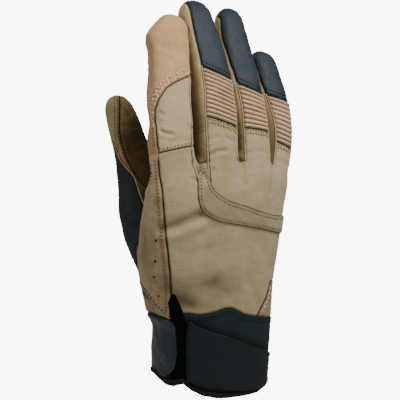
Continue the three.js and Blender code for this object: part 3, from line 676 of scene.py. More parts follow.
def panel(name, V, T, node, limb, thick=1.2, relief=None, seam=seam_profile, pucker_amount=0.16, painted_shade=None, flat=None):
    V, T = keep_large(V, T)
    V, T = compact(V, T)
    if not len(T):
        print("empty panel", name)
        return None
    N = gradient(V)
    be = boundary_edges(T)
    a, b = V[be[:, 0]], V[be[:, 1]]
    mid = (a + b) / 2
    keep = mid[:, 2] > rim_line(mid[:, 0], mid[:, 1]) + 0.6
    if flat is not None:
        keep &= ~flat(mid)
    d = nearest(dense((a[keep], b[keep])), V)
    panels[name] = (V, T, N, d)
    h = folds(V) + seam(d) + pucker(V, d, amount=pucker_amount)
    if relief is not None:
        h = h + relief(V, d)
    P = V + N * h[:, None]
    # painted shade: the colour darkens along the panel's seams and in the dents of its folds, and by any painted shade
    # passed in
    shade = 0.55 * np.exp(-(d / 0.75) ** 2) + np.clip(-folds(V) - 0.25, 0, 1.4) * 0.3
    if painted_shade is not None:
        shade = shade + painted_shade(V, d)
    PV, PT, src = shell_of(P, N, T, thick + 0.5 * np.minimum(h, 0))
    ob = new_object(name, PV, PT, cloth_coords(V, limb)[src], shade=np.clip(shade, 0, 0.9)[src])
    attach(ob, "root")
    for nd in (node if isinstance(node, (list, tuple)) else [node]):
        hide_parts(nd)
    pieces[name] = ob
    return ob


def overlay(name, V, T, lo, hi, node, limb, roll=None, relief=None):
    """A layer lying on the surface: flat underside, rolled edges."""
    V, T = keep_large(V, T)
    V, T = compact(V, T)
    N = gradient(V)
    be = boundary_edges(T)
    d = nearest(dense((V[be[:, 0]], V[be[:, 1]])), V)
    r = roll or (hi - lo)
    q = np.clip(d / r, 0, 1)
    h = lo + (hi - lo) * (0.15 + 0.85 * np.sqrt(1 - (1 - q) ** 2)) + folds(V) * 0.9
    if relief is not None:
        h = h + relief(V, d)
    P = V + N * h[:, None]
    under = h - (lo + folds(V) * 0.9)
    PV, PT, src = shell_of(P, N, T, np.maximum(under, 0.05))
    panels[name] = (V, T, N, d)
    # painted shade: the colour darkens along the layer's edges
    ob = new_object(name, PV, PT, cloth_coords(V, limb)[src], shade=(0.5 * np.exp(-(d / 0.6) ** 2))[src])
    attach(ob, "root")
    if node:
        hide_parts(node)
    pieces[name] = ob
    return ob


# ------------------------------------------------------------------ lines, stitches and piping
def contour(V, T, s):
    """Chains of points where s changes sign on the triangles."""
    s = np.where(np.abs(s) < 1e-6, 1e-6, s)
    neg = s < 0
    k = neg[T].sum(1)
    M = T[(k == 1) | (k == 2)]
    if not len(M):
        return []
    segs, where = [], {}
    for tri in M:
        ends = []
        for i in range(3):
            a, b = int(tri[i]), int(tri[(i + 1) % 3])
            if neg[a] != neg[b]:
                key = (min(a, b), max(a, b))
                ends.append(key)
                if key not in where:
                    t = s[key[0]] / (s[key[0]] - s[key[1]])
                    where[key] = V[key[0]] + (V[key[1]] - V[key[0]]) * t
        segs.append(ends)
    return chain(segs, where)


def chain(segs, where):
    nxt = {}
    for a, b in segs:
        nxt.setdefault(a, []).append(b)
        nxt.setdefault(b, []).append(a)
    lines, seen = [], set()
    starts = [k for k in nxt if len(nxt[k]) == 1] + list(nxt)
    for s0 in starts:
        if s0 in seen:
            continue
        line, cur = [s0], s0
        seen.add(s0)
        while True:
            step = [k for k in nxt[cur] if k not in seen]
            if not step:
                break
            cur = step[0]
            seen.add(cur)
            line.append(cur)
        if len(line) > 2:
            if len(nxt[s0]) > 1 and s0 in nxt[line[-1]]:
                line.append(s0)
            lines.append(np.array([where[k] for k in line]))
    return lines


def edge_chains(V, T, keep):
    be = boundary_edges(T)
    mid = (V[be[:, 0]] + V[be[:, 1]]) / 2
    be = be[keep(mid)]
    where = {int(i): V[i] for i in np.unique(be)}
    return chain([(int(a), int(b)) for a, b in be], where)


def resample(line, step, smooth=3):
    P = np.array(line)
    for _ in range(smooth):
        Q = P.copy()
        Q[1:-1] = (P[:-2] + 2 * P[1:-1] + P[2:]) / 4
        P = Q
    s = np.concatenate([[0], np.cumsum(np.linalg.norm(np.diff(P, axis=0), axis=1))])
    n = max(2, int(round(s[-1] / step)) + 1)
    x = np.linspace(0, s[-1], n)
    return np.stack([np.interp(x, s, P[:, i]) for i in range(3)], 1)


def keep_runs(line, mask, least=4):
    runs, cur = [], []
    for p, m in zip(line, mask):
        if m:
            cur.append(p)
        else:
            if len(cur) >= least:
                runs.append(np.array(cur))
            cur = []
    if len(cur) >= least:
        runs.append(np.array(cur))
    return runs


def capsule(sides=6):
    """A short thread, one unit long along x, radius one."""
    rings = [(-0.5, 0.45), (-0.42, 0.85), (-0.2, 1.0), (0.2, 1.0), (0.42, 0.85), (0.5, 0.45)]
    V, T = [], []
    for x, r in rings:
        for k in range(sides):
            a = 2 * math.pi * k / sides
            V.append((x, r * math.cos(a), r * math.sin(a)))
    for i in range(len(rings) - 1):
        for k in range(sides):
            a, b = i * sides + k, i * sides + (k + 1) % sides
            T += [(a, b, b + sides), (a, b + sides, a + sides)]
    for k in range(1, sides - 1):
        T += [(0, k + 1, k), ((len(rings) - 1) * sides, (len(rings) - 1) * sides + k, (len(rings) - 1) * sides + k + 1)]
    return np.array(V), np.array(T)


CV, CT = capsule()
threads = {}     # name: list of (V, T)


def stitch_row(group, line, pitch=2.0, length=1.45, radius=0.26, lift=0.3, zigzag=0.0, base=None):
    """Threads along a line on the plain surface."""
    P = resample(line, pitch)
    if len(P) < 3:
        return
    N = gradient(P)
    P = P - N * field(P)[:, None]
    tan = np.gradient(P, axis=0)
    tan /= np.linalg.norm(tan, axis=1)[:, None] + 1e-9
    mid = (P[1:] + P[:-1]) / 2
    n = gradient(mid)
    t = P[1:] - P[:-1]
    t /= np.linalg.norm(t, axis=1)[:, None] + 1e-9
    b = np.cross(n, t)
    h = folds(mid) + lift + (base if base is not None else 0)
    c = mid + n * h[:, None]
    sign = np.where(np.arange(len(c)) % 2 == 0, 1, -1) * math.sin(zigzag)
    x = t * math.cos(zigzag) + b * sign[:, None]
    y = np.cross(n, x)
    jit = 1 + 0.08 * rng.normal(size=(len(c), 1))
    V = c[:, None, :] + CV[None, :, 0:1] * length * x[:, None, :] * jit[:, None, :] + radius * (CV[None, :, 1:2] * y[:, None, :] + CV[None, :, 2:3] * n[:, None, :])
    # thread ends dip into the cloth
    V = V - (np.abs(CV[None, :, 0:1]) * 2) ** 4 * 0.22 * n[:, None, :]
    T = CT[None] + (np.arange(len(c)) * len(CV))[:, None, None]
    threads.setdefault(group, []).append((V.reshape(-1, 3), T.reshape(-1, 3)))


def tube(group, line, radius=0.5, lift=0.15, sides=8, step=0.9, wobble=0.05, spin=0.0):
    """A cord or piping lying along a line on the plain surface."""
    P = resample(line, step, 6)
    if len(P) < 3:
        return
    N = gradient(P)
    P = P - N * field(P)[:, None]
    h = folds(P) + lift
    C = P + N * h[:, None]
    t = np.gradient(C, axis=0)
    t /= np.linalg.norm(t, axis=1)[:, None] + 1e-9
    b = np.cross(N, t)
    s = np.arange(len(C))
    r = radius * (1 + wobble * np.sin(s * 2.1) + wobble * rng.normal(size=len(C)) * 0.4)
    ends = np.minimum(1, np.minimum(s, len(C) - 1 - s) / 1.5 + 0.35)
    r = r * ends
    V, T = [], []
    for k in range(sides):
        a = 2 * math.pi * k / sides
        V.append(C + r[:, None] * (math.cos(a) * b + math.sin(a) * N))
    V = np.stack(V, 1).reshape(-1, 3)
    i = np.arange(len(C) - 1)[:, None] * sides
    k = np.arange(sides)[None]
    a0, b0 = i + k, i + (k + 1) % sides
    T = np.concatenate([np.stack([a0, b0, b0 + sides], -1).reshape(-1, 3), np.stack([a0, b0 + sides, a0 + sides], -1).reshape(-1, 3)])
    threads.setdefault(group, []).append((V, T))


def flush_threads(group, name):
    if group not in threads:
        print("no threads", group)
        return None
    Vs, Ts, n = [], [], 0
    for V, T in threads[group]:
        Vs.append(V)
        Ts.append(T + n)
        n += len(V)
    ob = new_object(name, np.concatenate(Vs), np.concatenate(Ts))
    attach(ob, "root")
    pieces[name] = ob
    return ob


# ------------------------------------------------------------------ materials
def lin(c):
    out = [(x / 255 / 12.92 if x / 255 <= 0.04045 else ((x / 255 + 0.055) / 1.055) ** 2.4) for x in c]
    return (*out, 1.0)


class Cloth:
    """A small builder for procedural surfaces."""

    def __init__(self, name):
        self.mat = bpy.data.materials.new(name)
        self.mat.use_nodes = True
        self.nt = self.mat.node_tree
        self.nt.nodes.clear()
        self.out = self.nt.nodes.new("ShaderNodeOutputMaterial")
        self.bsdf = self.nt.nodes.new("ShaderNodeBsdfPrincipled")
        self.nt.links.new(self.bsdf.outputs[0], self.out.inputs[0])
        self.coord = self.nt.nodes.new("ShaderNodeTexCoord")

    def node(self, kind, **kw):
        n = self.nt.nodes.new(kind)
        for k, v in kw.items():
            setattr(n, k, v)
        return n

    def put(self, socket, value):
        if isinstance(value, bpy.types.NodeSocket):
            self.nt.links.new(value, socket)
        else:
            socket.default_value = value

    def space(self, uv=False, scale=(1, 1, 1), turn=0.0):
        m = self.node("ShaderNodeMapping")
        self.put(m.inputs["Vector"], self.coord.outputs["UV" if uv else "Object"])
        m.inputs["Scale"].default_value = scale
        m.inputs["Rotation"].default_value = (0, 0, turn)
        return m.outputs[0]

    def noise(self, vec, size_mm, detail=3.0, rough=0.55, distortion=0.0):
        n = self.node("ShaderNodeTexNoise")
        self.put(n.inputs["Vector"], vec)
        n.inputs["Scale"].default_value = 1000.0 / size_mm
        n.inputs["Detail"].default_value = detail
        n.inputs["Roughness"].default_value = rough
        n.inputs["Distortion"].default_value = distortion
        return n.outputs[0]

    def cells(self, vec, size_mm, feature="F1", randomness=1.0):
        n = self.node("ShaderNodeTexVoronoi", feature=feature)
        self.put(n.inputs["Vector"], vec)
        n.inputs["Scale"].default_value = 1000.0 / size_mm
        n.inputs["Randomness"].default_value = randomness
        return n.outputs[0]

    def bands(self, vec, axis, period_mm, distortion=0.0, profile="SIN"):
        n = self.node("ShaderNodeTexWave", wave_type="BANDS", bands_direction=axis, wave_profile=profile)
        self.put(n.inputs["Vector"], vec)
        n.inputs["Scale"].default_value = 314.159 / period_mm
        n.inputs["Distortion"].default_value = distortion
        n.inputs["Detail"].default_value = 1.0
        n.inputs["Detail Scale"].default_value = 1.5
        return n.outputs[1]

    def math(self, op, a, b=0.0, clamp=False):
        n = self.node("ShaderNodeMath", operation=op, use_clamp=clamp)
        self.put(n.inputs[0], a)
        self.put(n.inputs[1], b)
        return n.outputs[0]

    def ramp(self, v, a, b, lo=0.0, hi=1.0):
        n = self.node("ShaderNodeMapRange")
        self.put(n.inputs[0], v)
        for i, x in enumerate((a, b, lo, hi)):
            n.inputs[i + 1].default_value = x
        return n.outputs[0]

    def mix(self, fac, a, b):
        n = self.node("ShaderNodeMix", data_type="RGBA")
        self.put(n.inputs[0], fac)
        self.put(n.inputs[6], a)
        self.put(n.inputs[7], b)
        return n.outputs[2]

    def bump(self, layers, strength=1.0):
        """layers: (height socket, height in mm)."""
        normal = None
        for h, mm in layers:
            n = self.node("ShaderNodeBump")
            n.inputs["Strength"].default_value = strength
            n.inputs["Distance"].default_value = mm * MM
            self.put(n.inputs["Height"], h)
            if normal is not None:
                self.put(n.inputs["Normal"], normal)
            normal = n.outputs[0]
        self.put(self.bsdf.inputs["Normal"], normal)

    def finish(self, colour, rough, spec=0.35, sheen=0.0, sheen_rough=0.5, coat=0.0, coat_rough=0.4, with_painted_shade=True):
        b = self.bsdf.inputs
        if with_painted_shade:
            # painted shade: the 'shade' map darkens the colour in seams, dents and other places where shade falls
            uv = self.node("ShaderNodeUVMap", uv_map="shade")
            sep = self.node("ShaderNodeSeparateXYZ")
            self.put(sep.inputs[0], uv.outputs[0])
            n = self.node("ShaderNodeMix", data_type="RGBA", blend_type="MULTIPLY")
            self.put(n.inputs[0], sep.outputs[0])
            self.put(n.inputs[6], colour)
            n.inputs[7].default_value = (0.16, 0.13, 0.08, 1)
            colour = n.outputs[2]
        self.put(b["Base Color"], colour)
        self.put(b["Roughness"], rough)
        b["Specular IOR Level"].default_value = spec
        b["Sheen Weight"].default_value = sheen
        b["Sheen Roughness"].default_value = sheen_rough
        b["Coat Weight"].default_value = coat
        b["Coat Roughness"].default_value = coat_rough
        return self.mat


def woven(name, base, dark, light, rib=0.85, fine=0.42, depth=0.09, sheen=0.12):
    """Cloth with small horizontal ribs crossed by finer threads."""
    m = Cloth(name)
    uv, ob = m.space(uv=True), m.space()
    wide = m.space(uv=True, scale=(0.16, 1, 1))
    weft = m.bands(uv, "Y", rib, 1.2)
    warp = m.bands(uv, "X", rib * 0.9, 1.2)
    thread = m.bands(uv, "X", fine, 0.5)
    thread2 = m.bands(uv, "Y", fine, 0.5)
    fuzz = m.noise(ob, 0.5, 3)
    cloud = m.noise(ob, 14, 4)
    streak = m.noise(wide, 1.1, 3, 0.6)
    lattice = m.math("MULTIPLY", m.math("ADD", m.math("MULTIPLY", warp, 0.45), 0.55), weft)
    c = m.mix(m.ramp(cloud, 0.3, 0.7), lin(dark), lin(base))
    c = m.mix(m.math("MULTIPLY", lattice, 0.24), c, lin(light))
    c = m.mix(m.ramp(streak, 0.35, 0.75, 0.0, 0.5), c, lin(dark))
    c = m.mix(m.ramp(fuzz, 0.35, 0.75, 0.0, 0.3), c, lin(dark))
    m.bump([(lattice, depth), (streak, 0.1), (m.math("MULTIPLY", thread, thread2), 0.05), (fuzz, 0.05)])
    return m.finish(c, m.ramp(cloud, 0.2, 0.8, 0.82, 0.95), 0.2, sheen, 0.5)


def suede(name, base, dark, light, nap=1.3, depth=0.14, sheen=0.12, dots=0.0):
    m = Cloth(name)
    ob = m.space()
    n1, n2, n3 = m.noise(ob, 0.7, 5, 0.7), m.noise(ob, nap * 3, 4, 0.6, 0.6), m.noise(ob, 18, 3)
    pits = m.cells(ob, 0.9)
    c = m.mix(m.ramp(n3, 0.3, 0.7), lin(dark), lin(base))
    c = m.mix(m.ramp(n2, 0.45, 0.75, 0, 0.6), c, lin(light))
    c = m.mix(m.ramp(n1, 0.3, 0.5, 0.45, 0.0), c, lin(dark))
    m.bump([(n2, depth * 1.2), (n1, depth * 0.6), (pits, depth * 0.35)])
    return m.finish(c, m.ramp(n2, 0.3, 0.7, 0.86, 0.97), 0.2, sheen, 0.45)


def leather(name, base, dark, light, rough=(0.5, 0.68), grain=1.4, depth=0.12, sheen=0.1, spec=0.4):
    m = Cloth(name)
    ob = m.space()
    warp = m.noise(ob, 3.0, 2)
    cell = m.cells(ob, grain, "DISTANCE_TO_EDGE")
    fine = m.noise(ob, 0.45, 4, 0.65)
    cloud = m.noise(ob, 11, 4, 0.6)
    c = m.mix(m.ramp(cloud, 0.3, 0.72), lin(dark), lin(base))
    c = m.mix(m.ramp(cell, 0.0, 0.14, 0.5, 0.0), c, lin(dark))
    c = m.mix(m.ramp(fine, 0.55, 0.8, 0, 0.35), c, lin(light))
    m.bump([(warp, depth * 1.5), (m.ramp(cell, 0.0, 0.2), depth * 0.6), (fine, depth * 0.3)])
    return m.finish(c, m.ramp(cloud, 0.25, 0.75, *rough), spec, sheen, 0.5)


def elastic(name, base, dark, light, rib=1.0, depth=0.1, rough=0.8, sheen=0.15):
    m = Cloth(name)
    uv, ob = m.space(uv=True), m.space()
    a, b = m.bands(uv, "Y", rib, 0.5), m.bands(uv, "X", rib * 0.8, 0.5)
    fuzz, cloud = m.noise(ob, 0.5, 4, 0.65), m.noise(ob, 16, 4)
    h = m.math("MULTIPLY", a, m.math("ADD", m.math("MULTIPLY", b, 0.6), 0.4))
    c = m.mix(m.ramp(cloud, 0.3, 0.7), lin(dark), lin(base))
    c = m.mix(m.math("MULTIPLY", h, 0.35), c, lin(light))
    m.bump([(h, depth), (fuzz, 0.06)])
    return m.finish(c, m.ramp(cloud, 0.2, 0.8, rough - 0.06, rough + 0.08), 0.28, sheen, 0.5)


def plain(name, base, dark, rough=0.75, size=0.8, spec=0.25):
    m = Cloth(name)
    ob = m.space()
    n, f = m.noise(ob, size * 4, 3), m.noise(ob, size * 0.4, 3)
    m.bump([(f, 0.05)])
    return m.finish(m.mix(m.ramp(n, 0.3, 0.7), lin(dark), lin(base)), m.ramp(f, 0.2, 0.8, rough - 0.06, rough + 0.06), spec, with_painted_shade=False)


# ------------------------------------------------------------------ the glove
H = 0.8
V0, T0 = make_body(H)
S0 = Spot(V0)
V, T0, _ = split(V0, T0, rim_line(S0.x, S0.y) - S0.z)
BASE = (V, T0)

LOOKS = {
    "back": woven("back_fabric", (180, 161, 126), (156, 138, 105), (199, 182, 149)),
    # partly painted light: the back's fabric made lighter, partly its own tone and partly for the light falling on the
    # finger
    "index": woven("index_fabric", (191, 171, 135), (169, 149, 114), (209, 192, 158)),
    "wall": woven("wall_fabric", (196, 174, 130), (168, 147, 105), (214, 193, 150), rib=0.7, fine=0.36, depth=0.06),
    "cap": suede("cap_suede", (187, 150, 107), (167, 131, 90), (204, 170, 129)),
    "strip": suede("strip_suede", (179, 154, 118), (149, 126, 91), (199, 177, 142), nap=1.6, depth=0.18, sheen=0.2),
    "palm": suede("palm_suede", (136, 117, 84), (108, 91, 62), (158, 139, 106), nap=1.6, depth=0.16),
    "ulnar": suede("ulnar_suede", (140, 122, 92), (120, 102, 74), (160, 144, 116), nap=1.1, depth=0.12),
    "rib": woven("rib_fabric", (213, 184, 151), (183, 155, 122), (230, 205, 173), rib=0.7, fine=0.4, depth=0.04),
    "band": woven("band_fabric", (166, 148, 115), (145, 128, 96), (184, 167, 135), rib=0.8, fine=0.42, depth=0.06),
    "navy": leather("navy_leather", (35, 50, 58), (24, 37, 44), (52, 68, 76), sheen=0.0, spec=0.35),
    "thumbnavy": leather("dark_leather", (22, 34, 38), (12, 22, 26), (36, 50, 55), sheen=0.0, spec=0.3),
    "inner": suede("inner_thumb", (142, 121, 81), (112, 93, 58), (162, 141, 101), nap=1.2, depth=0.12, sheen=0.0),
    "thumb": suede("thumb_suede", (157, 136, 100), (128, 108, 75), (175, 154, 120), nap=1.2, depth=0.14, sheen=0.2),
    "cuff": elastic("cuff_elastic", (12, 31, 37), (6, 20, 26), (22, 46, 52), sheen=0.0),
    "strap": elastic("strap_fabric", (11, 22, 26), (6, 15, 18), (21, 35, 38), rib=0.8, depth=0.07, sheen=0.0),
    "grey": leather("grey_panel", (15, 35, 41), (10, 26, 31), (28, 52, 58), rough=(0.34, 0.46), grain=2.2, depth=0.05, sheen=0.0, spec=0.5),
    "gusset": plain("gusset_fabric", (3, 5, 8), (1, 2, 4), 0.9, 0.8, 0.08),
    "hem": elastic("hem_tape", (4, 9, 11), (2, 5, 6), (10, 19, 21), rib=0.9, depth=0.08, rough=0.75, sheen=0.0),
    "thread": plain("tan_thread", (226, 208, 174), (196, 177, 142), 0.7, 0.5),
    "quiet": plain("quiet_thread", (178, 158, 120), (150, 130, 96), 0.75, 0.5),
    "brown": plain("brown_thread", (112, 92, 60), (88, 70, 42), 0.75, 0.5),
    "darkthread": plain("dark_thread", (22, 32, 38), (12, 20, 25), 0.7, 0.5),
    "piping": plain("piping", (178, 160, 122), (150, 132, 98), 0.8, 0.6),
    # painted shadow: dark tubes set into the seams as their shadow lines
    "line": plain("seam_shadow", (52, 41, 24), (34, 26, 14), 0.95, 0.6, 0.05),
    # painted shade inside the perforations
    "hole": plain("eyelet_dark", (10, 8, 5), (5, 4, 3), 0.95, 0.6, 0.05),
}

todo = T0
parts = {}
for name, fn in REGIONS:
    V, inside_T, todo = split(V, todo, fn(Spot(V)))
    if len(inside_T):
        # a crumb cut off from its panel goes to a later one
        V, inside_T, crumbs = keep_large(V, inside_T, 90, True)
        todo = np.concatenate([todo, crumbs])
    parts[name] = inside_T
parts["palm"] = todo
for k in parts:
    print("region", k, len(parts[k]))


def ribs_valley_shade(k):
    def fn(P, d):
        u, v, t = L[k].local(P)
        q = (t - ribs_low[k](u)) / (tip_low[k](u) - ribs_low[k](u)) * BACKS[k]["count"]
        # painted shade: the valleys between the ribs are darkened
        return 0.92 * np.clip(np.abs((q % 1) * 2 - 1) * 2.1 - 1.1, 0, 1) ** 1.3
    return fn


def ribs_relief(k, rise=1.5):
    def fn(P, d):
        u, v, t = L[k].local(P)
        lo, hi = ribs_low[k](u), tip_low[k](u)
        q = (t - lo) / (hi - lo) * BACKS[k]["count"]
        ph = np.abs((q % 1) * 2 - 1)
        bump = 1 - ph ** 2.0
        edge = np.clip((np.minimum(u - left_edge[k](t), right_edge[k](t) - u) - 0.5) / 1.2, 0, 1)
        ends = np.clip(np.minimum(q, BACKS[k]["count"] - q) * 2, 0, 1)
        return rise * (bump - 0.25) * np.sqrt(edge) * ends
    return fn


def tail_seam(P):
    """The cap's tail runs on into the side strip with no marked seam."""
    u, v, t = L["index"].local(P)
    return (np.abs(t - 29.5) < 3.2) & (u < -8.5)


PANELS = [
    # name, node, slot, limb, look, thick
    ("back_panel", "back_panel", "back_fabric", "hand", "back", 1.2),
    ("ulnar_corner", "ulnar_corner", None, "hand", "ulnar", 1.2),
    ("index_back", "index_back", None, "index", "index", 1.2),
    ("index_cap", "index_cap", "cap_suede", "index", "cap", 1.2),
    ("index_wall", "index_back", None, "index", "wall", 1.2),
    ("index_palm", "index_palm", None, "index", "cap", 1.2),
    ("side_strip", "side_strip", "strip_suede", "hand", "strip", 1.2),
    ("palm", "palm", "palm_suede", "hand", "palm", 1.2),
    ("thumb_side", "thumb_side", "dark_leather", "thumb", "thumbnavy", 1.2),
    ("thumb_base", "thumb_base", None, "thumb", "thumbnavy", 1.2),
    ("thumb_strip", "thumb_front", None, "thumb", "thumb", 1.2),
    ("thumb_inner", "thumb_front", "wall_fabric", "thumb", "inner", 1.2),
    ("thumb_palm", "thumb_front", None, "thumb", "palm", 1.2),
    ("cuff_wall", "cuff_wall", "cuff_elastic", "hand", "cuff", 1.3),
]
for k in BACKS:
    PANELS += [
        (k + "_tip", k + "_tip", "navy_leather" if k == "middle" else None, k, "navy", 1.2),
        (k + "_wall", k + "_body", None, k, "wall", 1.2),
        (k + "_palm", k + "_body", None, k, "palm", 1.2),
    ]


def thumb_inner_shade(P, d):
    # painted shade: the thumb's inner side, facing the hand, darkens away from its seam and towards its root, and
    # lightens towards its tip
    u, v, t = L["thumb"].local(P)
    deep = 0.45 + 0.55 * np.clip((u - thumb_seam(t) - 1) / 9, 0, 1) ** 0.6
    return np.clip(deep + 0.35 * mix(t, 112, 80), 0, 1) * (1 - 0.92 * mix(t, 107, 125))


def mix(x, a, b):
    return np.clip((x - a) / (b - a), 0, 1)


def wall_shade(k):
    # painted shade: deeper between the fingers and nearer their roots it is darker
    def fn(P, d):
        u, v, t = L[k].local(P)
        return 0.74 * mix(v, 5, -3) * mix(t, 104, 62) + 0.46 * mix(t, 66, 28) + {"middle": 0, "ring": 0.22, "little": 0.5}[k] * mix(t, 84, 50)
    return fn


def cap_shade(P, d):
    # painted shade: darker towards the cap's lower end, more so away from the finger's back
    u, v, t = L["index"].local(P)
    return 0.16 * mix(t, 60, 30) + 0.2 * mix(t, 44, 28) * mix(v, 8, 0)


def navy_crotch_shade(P, d):
    # painted shade: the hollow of the thumb's crotch, along the navy panel's edge
    u, v, t = L["thumb"].local(P)
    near = np.exp(-((navy_edge(t) - u) / 3.4) ** 2) * mix(t, 86, 70) * mix(t, 30, 48)
    return 0.8 * near


def strap_shadow(P, d):
    # the cuff falls back into shade just above the strap's upper edge
    top = np.interp(P[:, 0], [-27, -13.5, 0.3, 15.5, 26.2, 36], [50.5, 44.7, 39.5, 32.4, 27.8, 22.5])
    g = P[:, 2] - top
    return 0.85 * np.exp(-(np.clip(g, 0, 99) / 4.2) ** 2) * (P[:, 1] < 0) * mix(P[:, 0], -30, -24)


WEB = on_skin(L["index"].world(np.array([14.0, 12.8, 12.0]), np.full(3, 9.0), np.array([26.0, 20.0, 14.0])))


CREASE = on_skin(np.array([(29.5, -24.2, 146.4), (29.0, -25.7, 143.5), (28.7, -26.5, 141.2), (28.6, -27.1, 138.8)]))


def back_shade(P, d):
    # painted shade: the hollow above the cuff and the lower back are darkened
    low = np.clip((112 - P[:, 2]) / 50, 0, 1) * (0.55 + 0.45 * np.clip((30 - P[:, 0]) / 50, 0, 1))
    pit = 0.85 * np.exp(-(((P[:, 0] + 33.5) / 8) ** 2 + ((P[:, 2] - 65) / 6) ** 2)) + 0.5 * np.exp(-(((P[:, 0] + 5) / 9) ** 2 + ((P[:, 2] - 72.5) / 9) ** 2))
    pit += 0.42 * np.exp(-(((P[:, 0] + 22) / 13) ** 2 + ((P[:, 2] - 70 + 0.1 * P[:, 0]) / 6) ** 2))
    # and the web between index and middle finger falls into shade
    web = np.exp(-(path_distance(WEB, P) / 2.0) ** 2)
    # and painted shade along a short crease that runs down from the gap beside the little finger
    crease = np.exp(-(path_distance(CREASE, P) / 0.9) ** 2)
    return 0.36 * low + (0.42 * pit * (P[:, 1] < 0)) + 0.5 * web + 0.6 * crease


def strip_lower_shade(P, d):
    # painted shade: darker towards the strip's lower end
    return 0.42 * mix(P[:, 2], 136, 108)


def thumb_strip_shade(P, d):
    # the thumb's strip runs down into the shade beside the hand
    u, v, t = L["thumb"].local(P)
    return 0.9 * mix(t, 90, 70)


# painted shade for each panel, darkening its colour where shade falls
PAINTED_SHADE = {"side_strip": strip_lower_shade, "thumb_strip": thumb_strip_shade, "thumb_inner": thumb_inner_shade, "back_panel": back_shade, "index_cap": cap_shade, "thumb_side": navy_crotch_shade, "cuff_wall": strap_shadow}
PAINTED_SHADE.update({k + "_wall": wall_shade(k) for k in BACKS})
for name, node, slot, limb, look, thick in PANELS:
    if panel(name, V, parts[name], node, limb, thick, painted_shade=PAINTED_SHADE.get(name), flat=tail_seam if name in ("index_cap", "side_strip") else None):
        pieces[name].data.materials.append(LOOKS[look])
for k in BACKS:
    RV, RT = keep_large(V, parts[k + "_ribs"])
    RV, RT = compact(RV, RT)
    RV, RT = refine(RV, RT, 2, snap=True)
    if panel(k + "_ribs", RV, RT, k + "_ribs", k, 1.0, relief=ribs_relief(k), painted_shade=ribs_valley_shade(k)):
        pieces[k + "_ribs"].data.materials.append(LOOKS["rib"])

# ------------------------------------------------------------------ layers lying on the panels
BV, BT = BASE
SB = Spot(BV)


hem_top = rim_line(SB.x, SB.y) + np.interp(SB.x, [-37, -33, -25], [3.6, 4.4, 3.4])


def front_patch(shape, ymax, per=8, smooth=True, also=None):
    poly = outline(shape, True, per) if smooth else np.array(shape, float)
    s = np.maximum(inside(poly, SB.x, SB.z), SB.y - ymax)
    if also is not None:
        s = np.maximum(s, also)
    return split(BV, BT, s)[:2]


def band_relief(P, d):
    # stitched grooves just inside both long edges
    return -0.3 * np.exp(-((d - 1.7) / 0.6) ** 2) + 0.12 * soft_noise(P, 5, 21)


PV, PT = front_patch(BAND, -8)
overlay("knuckle_band", PV, PT, 0.1, 1.15, "knuckle_band", "hand", roll=0.8, relief=band_relief).data.materials.append(LOOKS["band"])


def strap_relief(P, d):
    thin = np.clip((P[:, 0] - 26) / 8, 0, 1) * np.clip((30 - P[:, 2]) / 8, 0, 1)
    return -0.3 * np.exp(-((d - 1.8) / 0.4) ** 2) + 0.15 * soft_noise(P, 13, 22) - 1.2 * thin * np.clip(d / 1.5, 0, 1)


PV, PT = front_patch(STRAP, 2.0)
overlay("closure_strap", PV, PT, 0.3, 2.2, "closure_strap", "hand", roll=1.3, relief=strap_relief).data.materials.append(LOOKS["strap"])


def grey_relief(P, d):
    fold = path_distance(np.array([(-38, 5, 47), (-37, 1, 40), (-37, -3, 33), (-36, -8.5, 25)], float), P)
    return 0.9 * np.exp(-(fold / 1.3) ** 2) + 0.12 * soft_noise(P, 9, 23)


PV, PT = front_patch(GREY, 12.0, also=hem_top - 0.5 - SB.z)
overlay("cuff_side_panel", PV, PT, 0.25, 1.2, "cuff_side_panel", "hand", roll=0.9, relief=grey_relief).data.materials.append(LOOKS["grey"])
PV, PT = front_patch(GUSSET, 0.0, smooth=False)
overlay("cuff_gusset", PV, PT, 0.2, 0.7, "cuff_gusset", "hand", roll=0.5, relief=lambda P, d: 0.25 * soft_noise(P, 6, 24)).data.materials.append(LOOKS["gusset"])


def hem_relief(P, d):
    # fuller over the thumb side, thin round the rest of the opening
    rest = np.clip((P[:, 0] + 30) / 6, 0, 1)
    return (0.22 * np.sin(P[:, 0] * 2.2 + P[:, 1] * 1.7) + 0.12 * soft_noise(P, 6, 31)) * np.clip(d, 0, 1) - 0.75 * rest * np.clip(d / 0.8, 0, 1)


PV, PT = split(BV, BT, SB.z - hem_top)[:2]
overlay("hem_binding", PV, PT, 0.3, 1.7, "hem_binding", "hand", roll=1.5, relief=hem_relief).data.materials.append(LOOKS["hem"])

# ------------------------------------------------------------------ piping and stitches
def seam_lines(name, keep):
    PV, PT, N, d = panels[name]
    return edge_chains(PV, PT, keep)


def rows(name, offsets, keep, src_keep, group, base=None, near=True, **kw):
    """Stitch rows parallel to the part of the panel's edge where src_keep holds."""
    PV, PT, N, d = panels[name]
    be = boundary_edges(PT)
    a, b = PV[be[:, 0]], PV[be[:, 1]]
    m = src_keep((a + b) / 2)
    if not m.any():
        print("no edge", name)
        return
    dist = nearest(dense((a[m], b[m])), PV, max(offsets) + 3)
    for off in offsets:
        for line in contour(PV, PT, dist - off):
            for run in keep_runs(line, keep(line) & (nearest_mask(line, a, b, m) | (not near)), 5):
                stitch_row(group, run, base=base, **kw)


def nearest_mask(line, a, b, m):
    """True where the nearest edge of the whole outline is one of the chosen edges."""
    mid = (a + b) / 2
    out = np.zeros(len(line), bool)
    for i, p in enumerate(line):
        out[i] = m[((mid - p) ** 2).sum(1).argmin()]
    return out


def at(k, P):
    return L[k].local(P)


